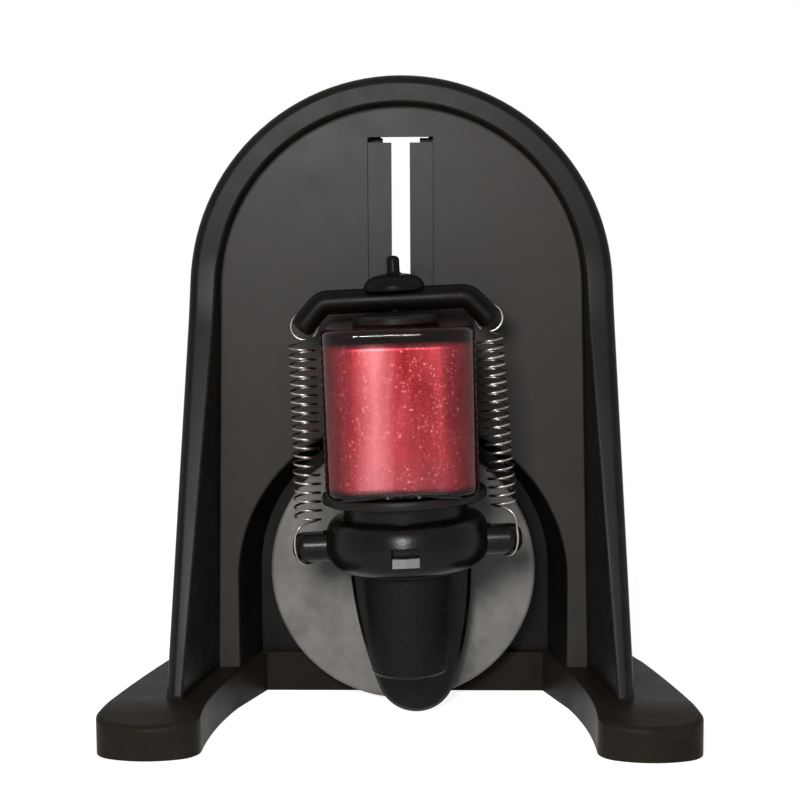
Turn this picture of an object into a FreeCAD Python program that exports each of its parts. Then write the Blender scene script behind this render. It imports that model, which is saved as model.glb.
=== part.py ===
import FreeCAD, Part
import math
import os
import re
import Sketcher
from FreeCAD import Rotation, Vector

# Shaker for one bottle of nail polish. A motor turns a crank disc in the recess of an
# arched stand. The bottle carrier hangs from a shoe that slides in the upright guide,
# and its lower end is driven round by the crank pin.
#
# Every sub-part stands in one frame: X to the right, Y to the back, Z up, with the origin
# under the middle of the whole machine. Depths are counted forward from the front face
# of the main panel, so a positive depth is nearer to the user.

SIZES = {
    # arched front shell
    "arch_radius": 45.6,
    "crown_gap": 6.6,
    "side_flare": 2.0,
    "panel_radius": 39.2,
    "panel_flare": 1.1,
    "rim_rise": 3.0,
    "rim_toe": 24.4,
    "rim_draft": 8.5,
    "rim_bevel": 1.3,
    "toe_flat": 0.8,
    "slope_blend": 60.0,
    "shell_depth": 36.0,
    "shell_wall": 2.4,
    "panel_wall": 2.0,
    "floor_wall": 2.0,
    # recess for the crank disc
    "recess_radius": 36.1,
    "recess_centre": 28.6,
    "recess_depth": 16.0,
    "recess_draft": 12.0,
    "recess_wall": 2.0,
    # base slab with two feet
    "base_height": 9.2,
    "base_wall": 2.2,
    "base_half": 50.8,
    "base_corner": 12.0,
    "front_depth": 41.4,
    "foot_half": 10.7,
    "foot_corner": 6.0,
    "foot_front": 18.0,
    "foot_spread": 50.9,
    "foot_drop": 2.0,
    "foot_dome": 60.0,
    "leg_back_half": 31.5,
    "leg_back_depth": 13.5,
    "leg_knee_half": 36.5,
    "leg_knee_depth": 2.0,
    "leg_inner_curve": 140.0,
    "leg_outer_half": 53.8,
    "leg_outer_depth": -6.0,
    "leg_outer_curve": 500.0,
    "leg_waist_depth": -24.0,
    "leg_waist_curve": 50.0,
    "pad_radius": 4.5,
    "pad_height": 0.3,
    "pad_sink": 1.3,
    "pad_front_depth": 31.0,
    "pad_back_half": 40.0,
    "pad_back_depth": -43.0,
    # rear cover
    "cover_wall": 2.2,
    "tongue_depth": 3.0,
    "tongue_wall": 1.4,
    "tongue_gap": 0.2,
    "bay_radius": 20.0,
    "bay_draft": 3.0,
    "bay_bevel": 1.6,
    "window_half": 6.0,
    "window_spare": 5.0,
    "vent_half": 8.0,
    "vent_height": 1.8,
    "vent_pitch": 4.4,
    "vent_low": 21.0,
    "cover_boss": 3.0,
    "boss_bite": 0.6,
    "cover_boss_angle": 38.0,
    "cover_boss_low": 20.0,
    # guide for the shoe
    "guide_spare_low": 2.9,
    "guide_spare_high": 0.5,
    "opening_half": 7.1,
    "slot_half": 2.0,
    "lip_drop": 1.2,
    "lip_sink": 0.4,
    "lip_wall": 2.6,
    "lip_gap": 0.1,
    "channel_depth": 4.6,
    "rail_wall": 1.5,
    "back_slot_half": 4.05,
    "back_lip_wall": 1.6,
    "flange_half": 14.6,
    "flange_depth": 6.0,
    "rail_screw_half": 11.6,
    "rail_screw_inset": 7.2,
    "rail_seat": 0.3,
    "rail_boss": 2.6,
    # running gaps
    "slide_gap": 0.3,
    "bush_gap": 0.05,
    "turn_gap": 0.3,
    # motor
    "motor_radius": 13.85,
    "motor_length": 31.0,
    "motor_bevel": 1.2,
    "motor_pad_wall": 1.0,
    "motor_gap": 1.0,
    "motor_nose_radius": 4.9,
    "motor_nose_length": 2.6,
    "motor_screw_half": 8.0,
    "shaft_radius": 1.5,
    "shaft_tail": 24.0,
    "bearing_radius": 3.4,
    "bearing_length": 4.0,
    # crank disc
    "disc_height": 30.4,
    "disc_radius": 29.3,
    "disc_wall": 4.0,
    "disc_sink": 3.5,
    "disc_bevel": 0.5,
    "hub_radius": 4.8,
    "hub_gap": 1.0,
    "crank_radius": 21.5,
    "crank_angle": 8.0,
    "pin_radius": 2.5,
    "pin_root_radius": 2.0,
    "pin_collar_radius": 3.6,
    "pin_collar_wall": 0.8,
    "pin_bevel": 0.4,
    # carrier plate and collar
    "link_length": 68.0,
    "plate_clear": 3.0,
    "plate_wall": 3.0,
    "plate_bevel": 0.8,
    "plate_end_radius": 8.5,
    "plate_half": 13.2,
    "strap_half": 9.0,
    "strap_run": 9.0,
    "boss_rise": 1.0,
    "crank_boss_radius": 5.6,
    "pivot_boss_radius": 6.6,
    "crank_bush_radius": 3.6,
    "crank_bush_depth": 3.0,
    "bottle_reach": 23.0,
    "collar_height": 27.3,
    "collar_radius": 16.9,
    "collar_top_radius": 13.8,
    "collar_low_radius": 14.9,
    "collar_shoulder_radius": 16.4,
    "collar_shoulder": 2.4,
    "collar_ridge": 4.8,
    "collar_depth": 9.6,
    "collar_bore": 10.9,
    "lip_radius": 14.6,
    "lip_depth": 0.6,
    "neck_radius": 13.0,
    "neck_height": 3.8,
    "seat_radius": 17.0,
    "seat_wall": 2.2,
    "seat_bevel": 0.6,
    "bridge_depth": 8.0,
    "notch_half": 2.8,
    "notch_low": 2.2,
    "notch_high": 6.0,
    "notch_depth": 1.4,
    # ears for the spring hooks
    "ear_root": 14.0,
    "ear_half": 22.4,
    "ear_top": 2.6,
    "ear_low": 2.8,
    "ear_curve": 4.4,
    "ear_front": 3.4,
    "flange_reach": 1.4,
    "flange_wall": 1.8,
    "flange_drop": 0.5,
    # pivot
    "journal_radius": 3.0,
    "stud_radius": 2.0,
    "pivot_bush_radius": 4.3,
    "shoe_half_height": 5.0,
    "shoe_neck_half_height": 4.5,
    "shoe_flange_radius": 5.0,
    "shoe_bevel": 0.5,
    "retainer_radius": 4.1,
    "retainer_wall": 1.0,
    "counterbore_radius": 4.7,
    "counterbore_depth": 1.6,
    # bottle
    "glass_half": 16.0,
    "glass_corner": 9.0,
    "glass_height": 35.2,
    "glass_wall": 3.0,
    "glass_base": 3.8,
    "glass_shoulder": 3.4,
    "shoulder_bevel": 1.8,
    "base_edge_bevel": 0.9,
    "bottle_neck_radius": 6.3,
    "bottle_neck_length": 12.0,
    "bottle_neck_bore": 4.3,
    "polish_gap": 0.05,
    "air_gap": 0.5,
    "cap_length": 38.6,
    "cap_tip_radius": 8.0,
    "cap_mouth_radius": 10.4,
    "cap_bore": 6.5,
    "cap_skirt": 13.5,
    "cap_bevel": 0.7,
    "brush_plug_wall": 1.0,
    "brush_plug_radius": 4.0,
    "stem_radius": 1.0,
    "stem_length": 30.0,
    "bristle_radius": 1.7,
    "bristle_length": 11.0,
    "brush_gap": 0.2,
    # spring clamp
    "foot_pad_radius": 9.3,
    "foot_pad_wall": 1.3,
    "foot_pad_bevel": 0.4,
    "foot_neck_radius": 2.6,
    "foot_neck_height": 0.6,
    "bar_radius": 2.5,
    "bar_straight": 13.0,
    "bar_bend": 3.4,
    "bar_bend_angle": 46.0,
    "bar_hub_radius": 2.4,
    "bar_hub_rise": 0.1,
    "bar_hub_drop": 0.2,
    "bar_tip": 5.2,
    "bar_end_bevel": 1.2,
    "peg_half": 18.0,
    "peg_drop": 3.4,
    "peg_radius": 0.8,
    "peg_length": 1.6,
    "knob_radius": 6.3,
    "knob_height": 3.2,
    "knob_edge": 0.8,
    "knob_top_radius": 4.6,
    "knob_pin_radius": 1.3,
    "knob_pin_rise": 3.3,
    "knob_pin_bevel": 0.5,
    # extension springs
    "spring_half": 20.0,
    "coil_radius": 2.75,
    "wire_radius": 0.25,
    "coil_low": 36.85,
    "coil_high": 73.05,
    "coil_pitch": 1.93,
    "hook_radius": 2.8,
    "hook_half": 19.0,
    "hook_depth": 0.6,
    # switch, button and power inlet
    "button_radius": 4.0,
    "socket_inset": 14.6,
    "button_height": 58.0,
    "button_rise": 2.0,
    "button_travel": 1.5,
    "button_length": 4.4,
    "button_stem_radius": 2.0,
    "button_stem_length": 4.4,
    "switch_half": 6.0,
    "switch_depth": 9.5,
    "jack_height": 22.0,
    "jack_radius": 3.9,
    "jack_length": 11.0,
    "jack_flange_radius": 5.4,
    "jack_flange_wall": 1.2,
    "jack_bore": 2.75,
    "jack_bore_depth": 9.0,
    "jack_nut_radius": 5.6,
    "jack_nut_wall": 2.0,
    # screws
    "screw_head": 2.6,
    "screw_head_height": 1.5,
    "screw_shank": 1.15,
    "screw_hole": 1.3,
    "screw_length": 9.0,
    "small_head": 1.8,
    "small_head_height": 1.2,
    "small_shank": 0.95,
    "small_length": 4.6,
    "pilot_gap": 0.05,
    "cross_half": 0.3,
    "cross_depth": 0.8,
    "base_screw_half": 42.0,
    "base_screw_front": -8.0,
    "base_screw_back": -29.0,
    "base_boss": 3.2,
    "base_boss_rise": 8.0,
    "base_screw_length": 12.0,
    "motor_screw_bite": 2.8,
    "cross_arm": 1.3,
    "retainer_bite": 2.6,
    "disc_screw_shank": 0.75,
    "disc_screw_length": 5.0,
    "shaft_set_back": 1.0,
}

# sizes that follow from the ones above
FOLLOWING = {
    "foot_lean": "asin((foot_half - foot_corner) / (foot_front - foot_corner))",
    "foot_reach": "front_depth - foot_front + (foot_front - foot_corner) * cos(foot_lean)",
    "guide_low": "disc_height - crank_radius + link_length - shoe_half_height - guide_spare_low",
    "guide_high": "disc_height + crank_radius + link_length + shoe_half_height + guide_spare_high",
    "arch_centre": "guide_high + crown_gap - panel_radius",
    "rail_screw_low": "guide_low + rail_screw_inset",
    "rail_screw_high": "guide_high - rail_screw_inset",
    "window_low": "guide_low - window_spare",
    "window_high": "guide_high + window_spare",
    "button_half": "arch_radius - socket_inset",
    "jack_half": "arch_radius - socket_inset",
}

os.makedirs("parts", exist_ok=True)
doc = FreeCAD.newDocument("nail_polish_shaker")
dims = doc.addObject("Spreadsheet::Sheet", "dims")
for line, (alias, size) in enumerate([*SIZES.items(), *FOLLOWING.items()], start=1):
    dims.set("A%d" % line, alias)
    dims.set("B%d" % line, str(size) if alias in SIZES else "=" + size)
    dims.setAlias("B%d" % line, alias)
doc.recompute()

CELLS = {**SIZES, **FOLLOWING}
subparts = []


# ---- small tools -------------------------------------------------------------------

def bind(text):
    """Point each alias in an expression at its cell in the sheet."""
    return re.sub(r"[a-z][a-z_]*", lambda word: ("dims." if word[0] in CELLS else "") + word[0], str(text))


def value(text):
    """The number that an expression gives with the sheet as it is."""
    result = dims.evalExpression(bind(text))
    return float(getattr(result, "Value", result))


def tie(thing, **properties):
    """Bind properties of an object to expressions in the sheet's sizes."""
    for name, text in properties.items():
        thing.setExpression(name.replace("__", "."), bind(text))


def body(label):
    """An empty body whose label becomes the node's name."""
    made = doc.addObject("PartDesign::Body", label)
    made.Label = label
    subparts.append(made)
    return made


def sketch(owner, plane, offset="0", shift="0"):
    """A sketch on one of the body's own origin planes, moved along its normal and sideways."""
    made = owner.newObject("Sketcher::SketchObject", "outline")
    made.AttachmentSupport = [([f for f in owner.Origin.OriginFeatures if f.Role == plane][0], "")]
    made.MapMode = "FlatFace"
    tie(made, AttachmentOffset__Base__z=offset, AttachmentOffset__Base__x=shift)
    return made


def front(owner, depth="0"):
    """A sketch seen from the front: X to the right, Z up, at a depth counted forward."""
    return sketch(owner, "XZ_Plane", depth)


def side(owner, offset="0", shift="0"):
    """A sketch seen from the right side: Y to the back, Z up."""
    return sketch(owner, "YZ_Plane", offset, shift)


def plan(owner, height="0"):
    """A sketch seen from above: X to the right, Y to the back."""
    return sketch(owner, "XY_Plane", height)


def pin_down(made, index, end, x, y):
    """Fix a point of the sketch at two bound coordinates."""
    for kind, axis, text in (("DistanceX", -2, x), ("DistanceY", -1, y)):
        if str(text) == "0":
            made.addConstraint(Sketcher.Constraint("PointOnObject", index, end, axis))
        else:
            at = made.addConstraint(Sketcher.Constraint(kind, -1, 1, index, end, value(text)))
            made.setExpression("Constraints[%d]" % at, bind(text))


def draw(made, *corners, closed=True):
    """Outline, anticlockwise. A corner is (x, y), or (x, y, radius) where an arc runs from
    it to the next corner: a positive radius swells outwards, a negative one inwards."""
    spots = [Vector(value(corner[0]), value(corner[1]), 0) for corner in corners]
    first = made.GeometryCount
    ends = []
    last = corners[-1]
    if not closed:
        corners = corners[:-1]
    for here, corner in enumerate(corners):
        a, b = spots[here], spots[(here + 1) % len(spots)]
        if len(corner) == 2:
            made.addGeometry(Part.LineSegment(a, b), False)
            ends.append((1, 2))
            continue
        radius = value(corner[2])
        chord = b - a
        reach = math.sqrt(max(radius ** 2 - (chord.Length / 2) ** 2, 0.0))
        inward = Vector(-chord.y, chord.x, 0).normalize() * math.copysign(reach, radius)
        centre = (a + b) / 2 + inward
        start, stop = (a, b) if radius > 0 else (b, a)
        circle = Part.Circle(centre, Vector(0, 0, 1), abs(radius))
        begin = math.atan2(start.y - centre.y, start.x - centre.x)
        finish = math.atan2(stop.y - centre.y, stop.x - centre.x)
        made.addGeometry(Part.ArcOfCircle(circle, begin, finish), False)
        ends.append((1, 2) if radius > 0 else (2, 1))
    for here in range(len(corners) if closed else len(corners) - 1):
        after = (here + 1) % len(corners)
        joint = (first + here, ends[here][1], first + after, ends[after][0])
        made.addConstraint(Sketcher.Constraint("Coincident", *joint))
    if not closed:
        pin_down(made, first + len(corners) - 1, ends[-1][1], last[0], last[1])
    for here, corner in enumerate(corners):
        pin_down(made, first + here, ends[here][0], corner[0], corner[1])
        if len(corner) == 3:
            at = made.addConstraint(Sketcher.Constraint("Radius", first + here, abs(value(corner[2]))))
            made.setExpression("Constraints[%d]" % at, bind("abs(%s)" % corner[2]))
    return made


def ring(made, x, y, radius):
    """A full circle with bound centre and radius."""
    centre = Vector(value(x), value(y), 0)
    index = made.addGeometry(Part.Circle(centre, Vector(0, 0, 1), value(radius)), False)
    pin_down(made, index, 3, x, y)
    at = made.addConstraint(Sketcher.Constraint("Radius", index, value(radius)))
    made.setExpression("Constraints[%d]" % at, bind(radius))
    return made


def box(made, left, low, right, high):
    """A rectangle between two bound corners."""
    return draw(made, (left, low), (right, low), (right, high), (left, high))


def extrude(kind, owner, profile, length, flip=False, taper="0"):
    feature = owner.newObject("PartDesign::" + kind, kind.lower())
    feature.Profile = profile
    tie(feature, Length=length, TaperAngle=taper)
    feature.Reversed = flip
    doc.recompute()
    return feature


def pad(owner, profile, length, flip=False, taper="0"):
    """Add material along the sketch's normal, or against it when flipped."""
    return extrude("Pad", owner, profile, length, flip, taper)


def pocket(owner, profile, length, flip=False, taper="0"):
    """Take material away against the sketch's normal, or along it when flipped."""
    before = owner.Shape.Volume
    feature = extrude("Pocket", owner, profile, length, flip, taper)
    if feature.Shape.Volume > before - 1e-6:
        raise RuntimeError("a pocket of %s cuts nothing" % owner.Label)
    return feature


def spin(owner, profile, axis="V_Axis"):
    """Turn a profile once round an axis of its own sketch."""
    feature = owner.newObject("PartDesign::Revolution", "revolution")
    feature.Profile = profile
    feature.ReferenceAxis = (profile, [axis])
    feature.Angle = 360
    doc.recompute()
    return feature


def dress(owner, size, chosen, kind="Fillet"):
    """Round or bevel the edges of the last feature that pass a test."""
    doc.recompute()
    base = owner.Tip
    names = ["Edge%d" % at for at, edge in enumerate(base.Shape.Edges, start=1) if chosen(edge)]
    if not names:
        raise RuntimeError("no edge to dress on %s" % owner.Label)
    feature = owner.newObject("PartDesign::" + kind, kind.lower())
    feature.Base = (base, names)
    tie(feature, **{"Radius" if kind == "Fillet" else "Size": size})
    doc.recompute()
    return feature


def flat_at(edge, axis, level):
    """True when an edge lies wholly at one level of an axis."""
    reach = edge.BoundBox
    ends = {"x": (reach.XMin, reach.XMax), "y": (reach.YMin, reach.YMax), "z": (reach.ZMin, reach.ZMax)}[axis]
    return all(abs(end - level) < 1e-4 for end in ends)


# ---- where things stand ------------------------------------------------------------

MOTOR_FACE = "(recess_depth + recess_wall + motor_pad_wall)"
REAR = "(%s + motor_length + motor_gap + cover_wall)" % MOTOR_FACE
FRONT = "front_depth"
PANEL_Y = "((%s - %s) / 2)" % (FRONT, REAR)
CRANK_X = "(crank_radius * sin(crank_angle))"
CRANK_Z = "(disc_height - crank_radius * cos(crank_angle))"
TILT = "asin(%s / link_length)" % CRANK_X
PIVOT_Z = "(%s + sqrt(link_length ^ 2 - %s ^ 2))" % (CRANK_Z, CRANK_X)

# levels on the carrier, counted up from the pivot along the carrier's own axis
COLLAR_LOW = "(collar_height - link_length)"
COLLAR_TOP = "(%s + collar_depth)" % COLLAR_LOW
NECK_TOP = "(%s + neck_height)" % COLLAR_TOP
GLASS_LOW = "(%s + seat_wall)" % NECK_TOP
GLASS_TOP = "(%s + glass_height)" % GLASS_LOW
FOOT_TOP = "(%s + foot_pad_wall + foot_neck_height)" % GLASS_TOP
BAR_AXIS = "(%s + bar_hub_drop + bar_radius)" % FOOT_TOP
KNOB_LOW = "(%s + bar_radius + bar_hub_rise)" % BAR_AXIS
EAR_LEVEL = "(%s + collar_ridge)" % COLLAR_LOW
PLATE_FRONT = "(plate_clear + plate_wall)"


def stand_at(thing, x="0", depth="0", height="0"):
    """Place a sub-part of the stand, measured from the panel's front face at the ground."""
    tie(thing, Placement__Base__x=x, Placement__Base__z=height,
        Placement__Base__y="%s - (%s)" % (PANEL_Y, depth))


def turn_with(thing, angle, height):
    """Place a sub-part that leans its lower end to the right about a pivot in the stand."""
    thing.Placement.Rotation = Rotation(Vector(0, -1, 0), value(angle))
    tie(thing, Placement__Rotation__Angle=angle)
    stand_at(thing, height=height)


def on_crank(thing):
    turn_with(thing, "crank_angle", "disc_height")


def on_carrier(thing):
    turn_with(thing, TILT, PIVOT_Z)


def half_width(radius, flare, centre, height):
    """Half width of a flared arch at a height."""
    return "(({r}) * cos({f}) + (({c}) + ({r}) * sin({f}) - ({h})) * tan({f}))".format(
        r=radius, f=flare, c=centre, h=height)


def arch(radius, flare, centre, foot):
    """Corners of an arch: a round crown and two legs that flare out down to the foot level."""
    tangent_x = "(({r}) * cos({f}))".format(r=radius, f=flare)
    tangent_z = "(({c}) + ({r}) * sin({f}))".format(r=radius, f=flare, c=centre)
    crown = "(({c}) + ({r}))".format(r=radius, c=centre)
    foot_x = half_width(radius, flare, centre, foot)
    return [(foot_x, foot), (tangent_x, tangent_z, radius), ("0", crown, radius),
            ("-" + tangent_x, tangent_z), ("-" + foot_x, foot)]


# depths of the guide, counted backwards from the panel's front face
LIP_BACK = "(lip_sink + lip_wall)"
CHANNEL_BACK = "(%s + channel_depth)" % LIP_BACK
RAIL_BACK = "(%s + back_lip_wall)" % CHANNEL_BACK
RAIL_SEAT = "(panel_wall - rail_seat)"
FLANGE_BACK = "(flange_depth + back_lip_wall)"

# ---- front shell -------------------------------------------------------------------

SHELL_FRONT = "(rim_rise + rim_toe)"
SLOPE = "atan(rim_toe / (arch_centre - base_height - toe_flat))"
BLEND_RUN = "(slope_blend * tan(%s / 2))" % SLOPE
ABOVE = "(arch_centre + arch_radius + shell_wall)"
TUB = "(recess_radius + recess_wall)"
SHELL_FLOOR = "(base_height + floor_wall)"
INNER_ARCH = arch("arch_radius - shell_wall", "side_flare", "arch_centre", SHELL_FLOOR)
BOSS_ARM = "(arch_radius - shell_wall - cover_boss + boss_bite)"
HIGH_BOSS_X = "(%s * cos(cover_boss_angle))" % BOSS_ARM
HIGH_BOSS_Z = "(arch_centre + %s * sin(cover_boss_angle))" % BOSS_ARM
LOW_BOSS_X = "(%s - shell_wall - cover_boss + boss_bite)" % half_width(
    "arch_radius", "side_flare", "arch_centre", "cover_boss_low")
COVER_SPOTS = [(sign + x, z) for x, z in ((HIGH_BOSS_X, HIGH_BOSS_Z), (LOW_BOSS_X, "cover_boss_low"))
               for sign in ("", "-")]
RAIL_SPOTS = [(sign + "rail_screw_half", z) for z in ("rail_screw_low", "rail_screw_high")
              for sign in ("", "-")]
BASE_SPOTS = [(sign + "base_screw_half", "-" + y) for y in ("base_screw_front", "base_screw_back")
              for sign in ("", "-")]
MOTOR_SPOTS = [(sign + "motor_screw_half", "disc_height") for sign in ("", "-")]

shell = body("front_shell")
pad(shell, draw(front(shell, SHELL_FRONT), *arch("arch_radius", "side_flare", "arch_centre", "base_height")),
    SHELL_FRONT + " + shell_depth", flip=True)

# the front edge slopes forward from the height of the arch centre down to the feet
slope = draw(side(shell),
             ("-" + SHELL_FRONT, "base_height + toe_flat"),
             ("-(rim_rise + {b} * sin({s}))".format(b=BLEND_RUN, s=SLOPE),
              "arch_centre - {b} * cos({s})".format(b=BLEND_RUN, s=SLOPE), "slope_blend"),
             ("-rim_rise", "arch_centre + " + BLEND_RUN),
             ("-rim_rise", ABOVE),
             ("-(%s + shell_wall)" % SHELL_FRONT, ABOVE),
             ("-(%s + shell_wall)" % SHELL_FRONT, "base_height + toe_flat"))
cut_slope = pocket(shell, slope, "4 * arch_radius", flip=False)
cut_slope.Midplane = True
doc.recompute()


def on_rim_edge(edge):
    """The outer front edge of the rim, from one toe over the crown to the other."""
    middle = edge.valueAt((edge.FirstParameter + edge.LastParameter) / 2)
    ahead = middle.y < -value("rim_rise") + 1e-3
    upright = edge.BoundBox.ZMax > value("base_height + toe_flat") + 1e-3
    lies = abs(middle.x) > 1.0 and edge.BoundBox.XLength < value("arch_radius") + 1.0
    return ahead and upright and lies and edge.BoundBox.ZMin > value("base_height") + 0.1


dress(shell, "rim_bevel", on_rim_edge, "Chamfer")

# main panel, with the inner wall of the rim drafted open to the front
pocket(shell, draw(front(shell), *arch("panel_radius", "panel_flare", "arch_centre", "base_height / 2")),
       SHELL_FRONT + " + shell_wall", flip=True, taper="rim_draft")
# recess for the crank disc, narrower at the back
pocket(shell, draw(front(shell), *arch("recess_radius", "0", "recess_centre", "-recess_depth")),
       "recess_depth", taper="-recess_draft")
# the hollow behind the recess, and the hollow behind the panel round it
pocket(shell, draw(front(shell, "-shell_depth"), *INNER_ARCH),
       "shell_depth - recess_depth - recess_wall", flip=True)
pocket(shell, draw(front(shell, "-shell_depth"), *INNER_ARCH,
                   ("-" + TUB, SHELL_FLOOR), ("-" + TUB, "recess_centre", "-" + TUB),
                   ("0", "recess_centre + " + TUB, "-" + TUB), (TUB, "recess_centre"), (TUB, SHELL_FLOOR)),
       "shell_depth - panel_wall", flip=True)
# opening for the guide
pocket(shell, box(front(shell), "-opening_half", "guide_low", "opening_half", "guide_high"), "panel_wall")
# shallow seat behind the panel that takes the two rails
pocket(shell, box(front(shell, "-" + RAIL_BACK), "-(flange_half + lip_gap)", "guide_low",
                  "flange_half + lip_gap", "guide_high"), "%s - %s" % (RAIL_BACK, RAIL_SEAT), flip=True)
# bosses for the cover screws, the rail screws and the base screws
bosses = front(shell, "-panel_wall")
for x, z in COVER_SPOTS:
    ring(bosses, x, z, "cover_boss")
pad(shell, bosses, "shell_depth - panel_wall", flip=True)
bosses = front(shell, "-" + RAIL_SEAT)
for x, z in RAIL_SPOTS:
    ring(bosses, x, z, "rail_boss")
pad(shell, bosses, "flange_depth - " + RAIL_SEAT, flip=True)
bosses = plan(shell, "base_height")
for x, y in BASE_SPOTS:
    ring(bosses, x, y, "base_boss")
pad(shell, bosses, "base_boss_rise")
pilots = front(shell, "-shell_depth")
for x, z in COVER_SPOTS:
    ring(pilots, x, z, "screw_shank + pilot_gap")
pocket(shell, pilots, "screw_length", flip=True)
pilots = front(shell, "-flange_depth")
for x, z in RAIL_SPOTS:
    ring(pilots, x, z, "small_shank + pilot_gap")
pocket(shell, pilots, "small_length - back_lip_wall + pilot_gap", flip=True)
pilots = plan(shell, "base_height")
for x, y in BASE_SPOTS:
    ring(pilots, x, y, "screw_shank + pilot_gap")
pocket(shell, pilots, "base_boss_rise - floor_wall / 2", flip=True)
# holes in the back of the recess for the motor's nose and its two screws
holes = front(shell, "-recess_depth")
ring(holes, "0", "disc_height", "motor_nose_radius + bush_gap")
for x, z in MOTOR_SPOTS:
    ring(holes, x, z, "screw_hole")
pocket(shell, holes, "recess_wall")
stand_at(shell)

# ---- base slab with its two feet ---------------------------------------------------


def base_outline(made, inset):
    """The U-shaped plan of the base, drawn inset from its outer wall."""
    corner, half = "(foot_corner - (%s))" % inset, "(foot_half - (%s))" % inset
    turn_x = "(foot_half - foot_corner + %s * sin(foot_lean))" % corner
    turn_y = "-(foot_reach + %s * cos(foot_lean))" % corner
    right = [("leg_back_half + (%s)" % inset, "leg_back_depth + (%s)" % inset),
             ("leg_knee_half + (%s)" % inset, "-leg_knee_depth", "-(leg_inner_curve - (%s))" % inset),
             ("foot_spread - " + half, "-foot_reach", corner),
             ("foot_spread - " + turn_x, turn_y, "foot_front - (%s)" % inset),
             ("foot_spread + " + turn_x, turn_y, corner),
             ("foot_spread + " + half, "-foot_reach", "leg_outer_curve"),
             ("leg_outer_half - (%s)" % inset, "-leg_outer_depth", "-leg_waist_curve"),
             ("base_half - (%s)" % inset, "-leg_waist_depth"),
             ("base_half - (%s)" % inset, REAR + " - base_corner", "base_corner - (%s)" % inset),
             ("base_half - base_corner", REAR + " - (%s)" % inset)]
    left = []
    for here in range(len(right) - 1, -1, -1):
        x, y = right[here][0], right[here][1]
        before = right[here - 1] if here else ()
        turn = (before[2],) if len(before) == 3 else ()
        left.append(("-(%s)" % x, y) + turn)
    return draw(made, *right, *left)


base = body("base_frame")
pad(base, base_outline(plan(base, "pad_height"), "0"), "base_height - pad_height")
# the top of each foot falls away in front of the arch
doming = draw(side(base),
              ("-" + SHELL_FRONT, "base_height", "foot_dome"),
              ("-(%s)" % FRONT, "base_height - foot_drop"),
              ("-(%s + base_wall)" % FRONT, "base_height - foot_drop"),
              ("-(%s + base_wall)" % FRONT, "base_height + base_wall"),
              ("-" + SHELL_FRONT, "base_height + base_wall"))
falling = pocket(base, doming, "4 * foot_spread")
falling.Midplane = True
doc.recompute()
pocket(base, base_outline(plan(base, "pad_height"), "base_wall"),
       "base_height - pad_height - foot_drop - base_wall", flip=True)
PAD_CORNERS = (("foot_spread", "pad_front_depth"), ("pad_back_half", "pad_back_depth"))
PAD_SPOTS = [(sign + x, "-" + y) for x, y in PAD_CORNERS for sign in ("", "-")]
posts = plan(base, "pad_height")
for x, y in PAD_SPOTS:
    ring(posts, x, y, "pad_radius + base_wall")
pad(base, posts, "base_height - pad_height - foot_drop - base_wall / 2")
posts = plan(base, "pad_height")
for x, y in BASE_SPOTS:
    ring(posts, x, y, "base_boss")
pad(base, posts, "base_height - pad_height - base_wall / 2")
sinks = plan(base, "pad_height")
for x, y in PAD_SPOTS:
    ring(sinks, x, y, "pad_radius")
pocket(base, sinks, "pad_sink", flip=True)
holes = plan(base, "base_height")
for x, y in BASE_SPOTS:
    ring(holes, x, y, "screw_hole")
pocket(base, holes, "base_height")
holes = plan(base, "pad_height")
for x, y in BASE_SPOTS:
    ring(holes, x, y, "screw_head + pilot_gap")
pocket(base, holes, "screw_head_height", flip=True)
stand_at(base)

# ---- rear cover --------------------------------------------------------------------

COVER_BACK = "(shell_depth + cover_wall)"
BAY_RUN = "(%s - %s)" % (REAR, COVER_BACK)
TONGUE = "arch_radius - shell_wall - tongue_gap"

cover = body("rear_cover")
pad(cover, draw(front(cover, "-shell_depth"), *arch("arch_radius", "side_flare", "arch_centre", "base_height")),
    "cover_wall", flip=True)
# motor bay, drafted towards the back
pad(cover, draw(front(cover, "-" + COVER_BACK), *arch("bay_radius", "0", "disc_height", "base_height")),
    BAY_RUN, flip=True, taper="-bay_draft")
dress(cover, "bay_bevel", lambda edge: flat_at(edge, "y", value(REAR)), "Chamfer")
hollow = arch("bay_radius - cover_wall", "0", "disc_height", "base_height + cover_wall - tongue_gap")
pocket(cover, draw(front(cover, "-shell_depth"), *hollow), BAY_RUN, taper="-bay_draft")
# tongue that locates the cover inside the shell, notched round the screw bosses
TONGUE_FLOOR = SHELL_FLOOR + " + tongue_gap"
tongue = draw(front(cover, "-shell_depth"), *arch(TONGUE, "side_flare", "arch_centre", TONGUE_FLOOR))
draw(tongue, *arch(TONGUE + " - tongue_wall", "side_flare", "arch_centre", TONGUE_FLOOR + " + tongue_wall"))
pad(cover, tongue, "tongue_depth")
notches = front(cover, "-shell_depth")
for x, z in COVER_SPOTS:
    ring(notches, x, z, "cover_boss + tongue_gap")
pocket(cover, notches, "tongue_depth", flip=True)
# window behind the guide, round at both ends
window = draw(front(cover, "-shell_depth"),
              ("window_half", "window_low + window_half"),
              ("window_half", "window_high - window_half", "window_half"),
              ("0", "window_high", "window_half"),
              ("-window_half", "window_high - window_half"),
              ("-window_half", "window_low + window_half", "window_half"),
              ("0", "window_low", "window_half"))
pocket(cover, window, "cover_wall")
holes = front(cover, "-shell_depth")
for x, z in COVER_SPOTS:
    ring(holes, x, z, "screw_hole")
ring(holes, "button_half", "button_height", "button_radius + slide_gap")
ring(holes, "-jack_half", "jack_height", "jack_radius + bush_gap")
pocket(cover, holes, "cover_wall")
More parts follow.
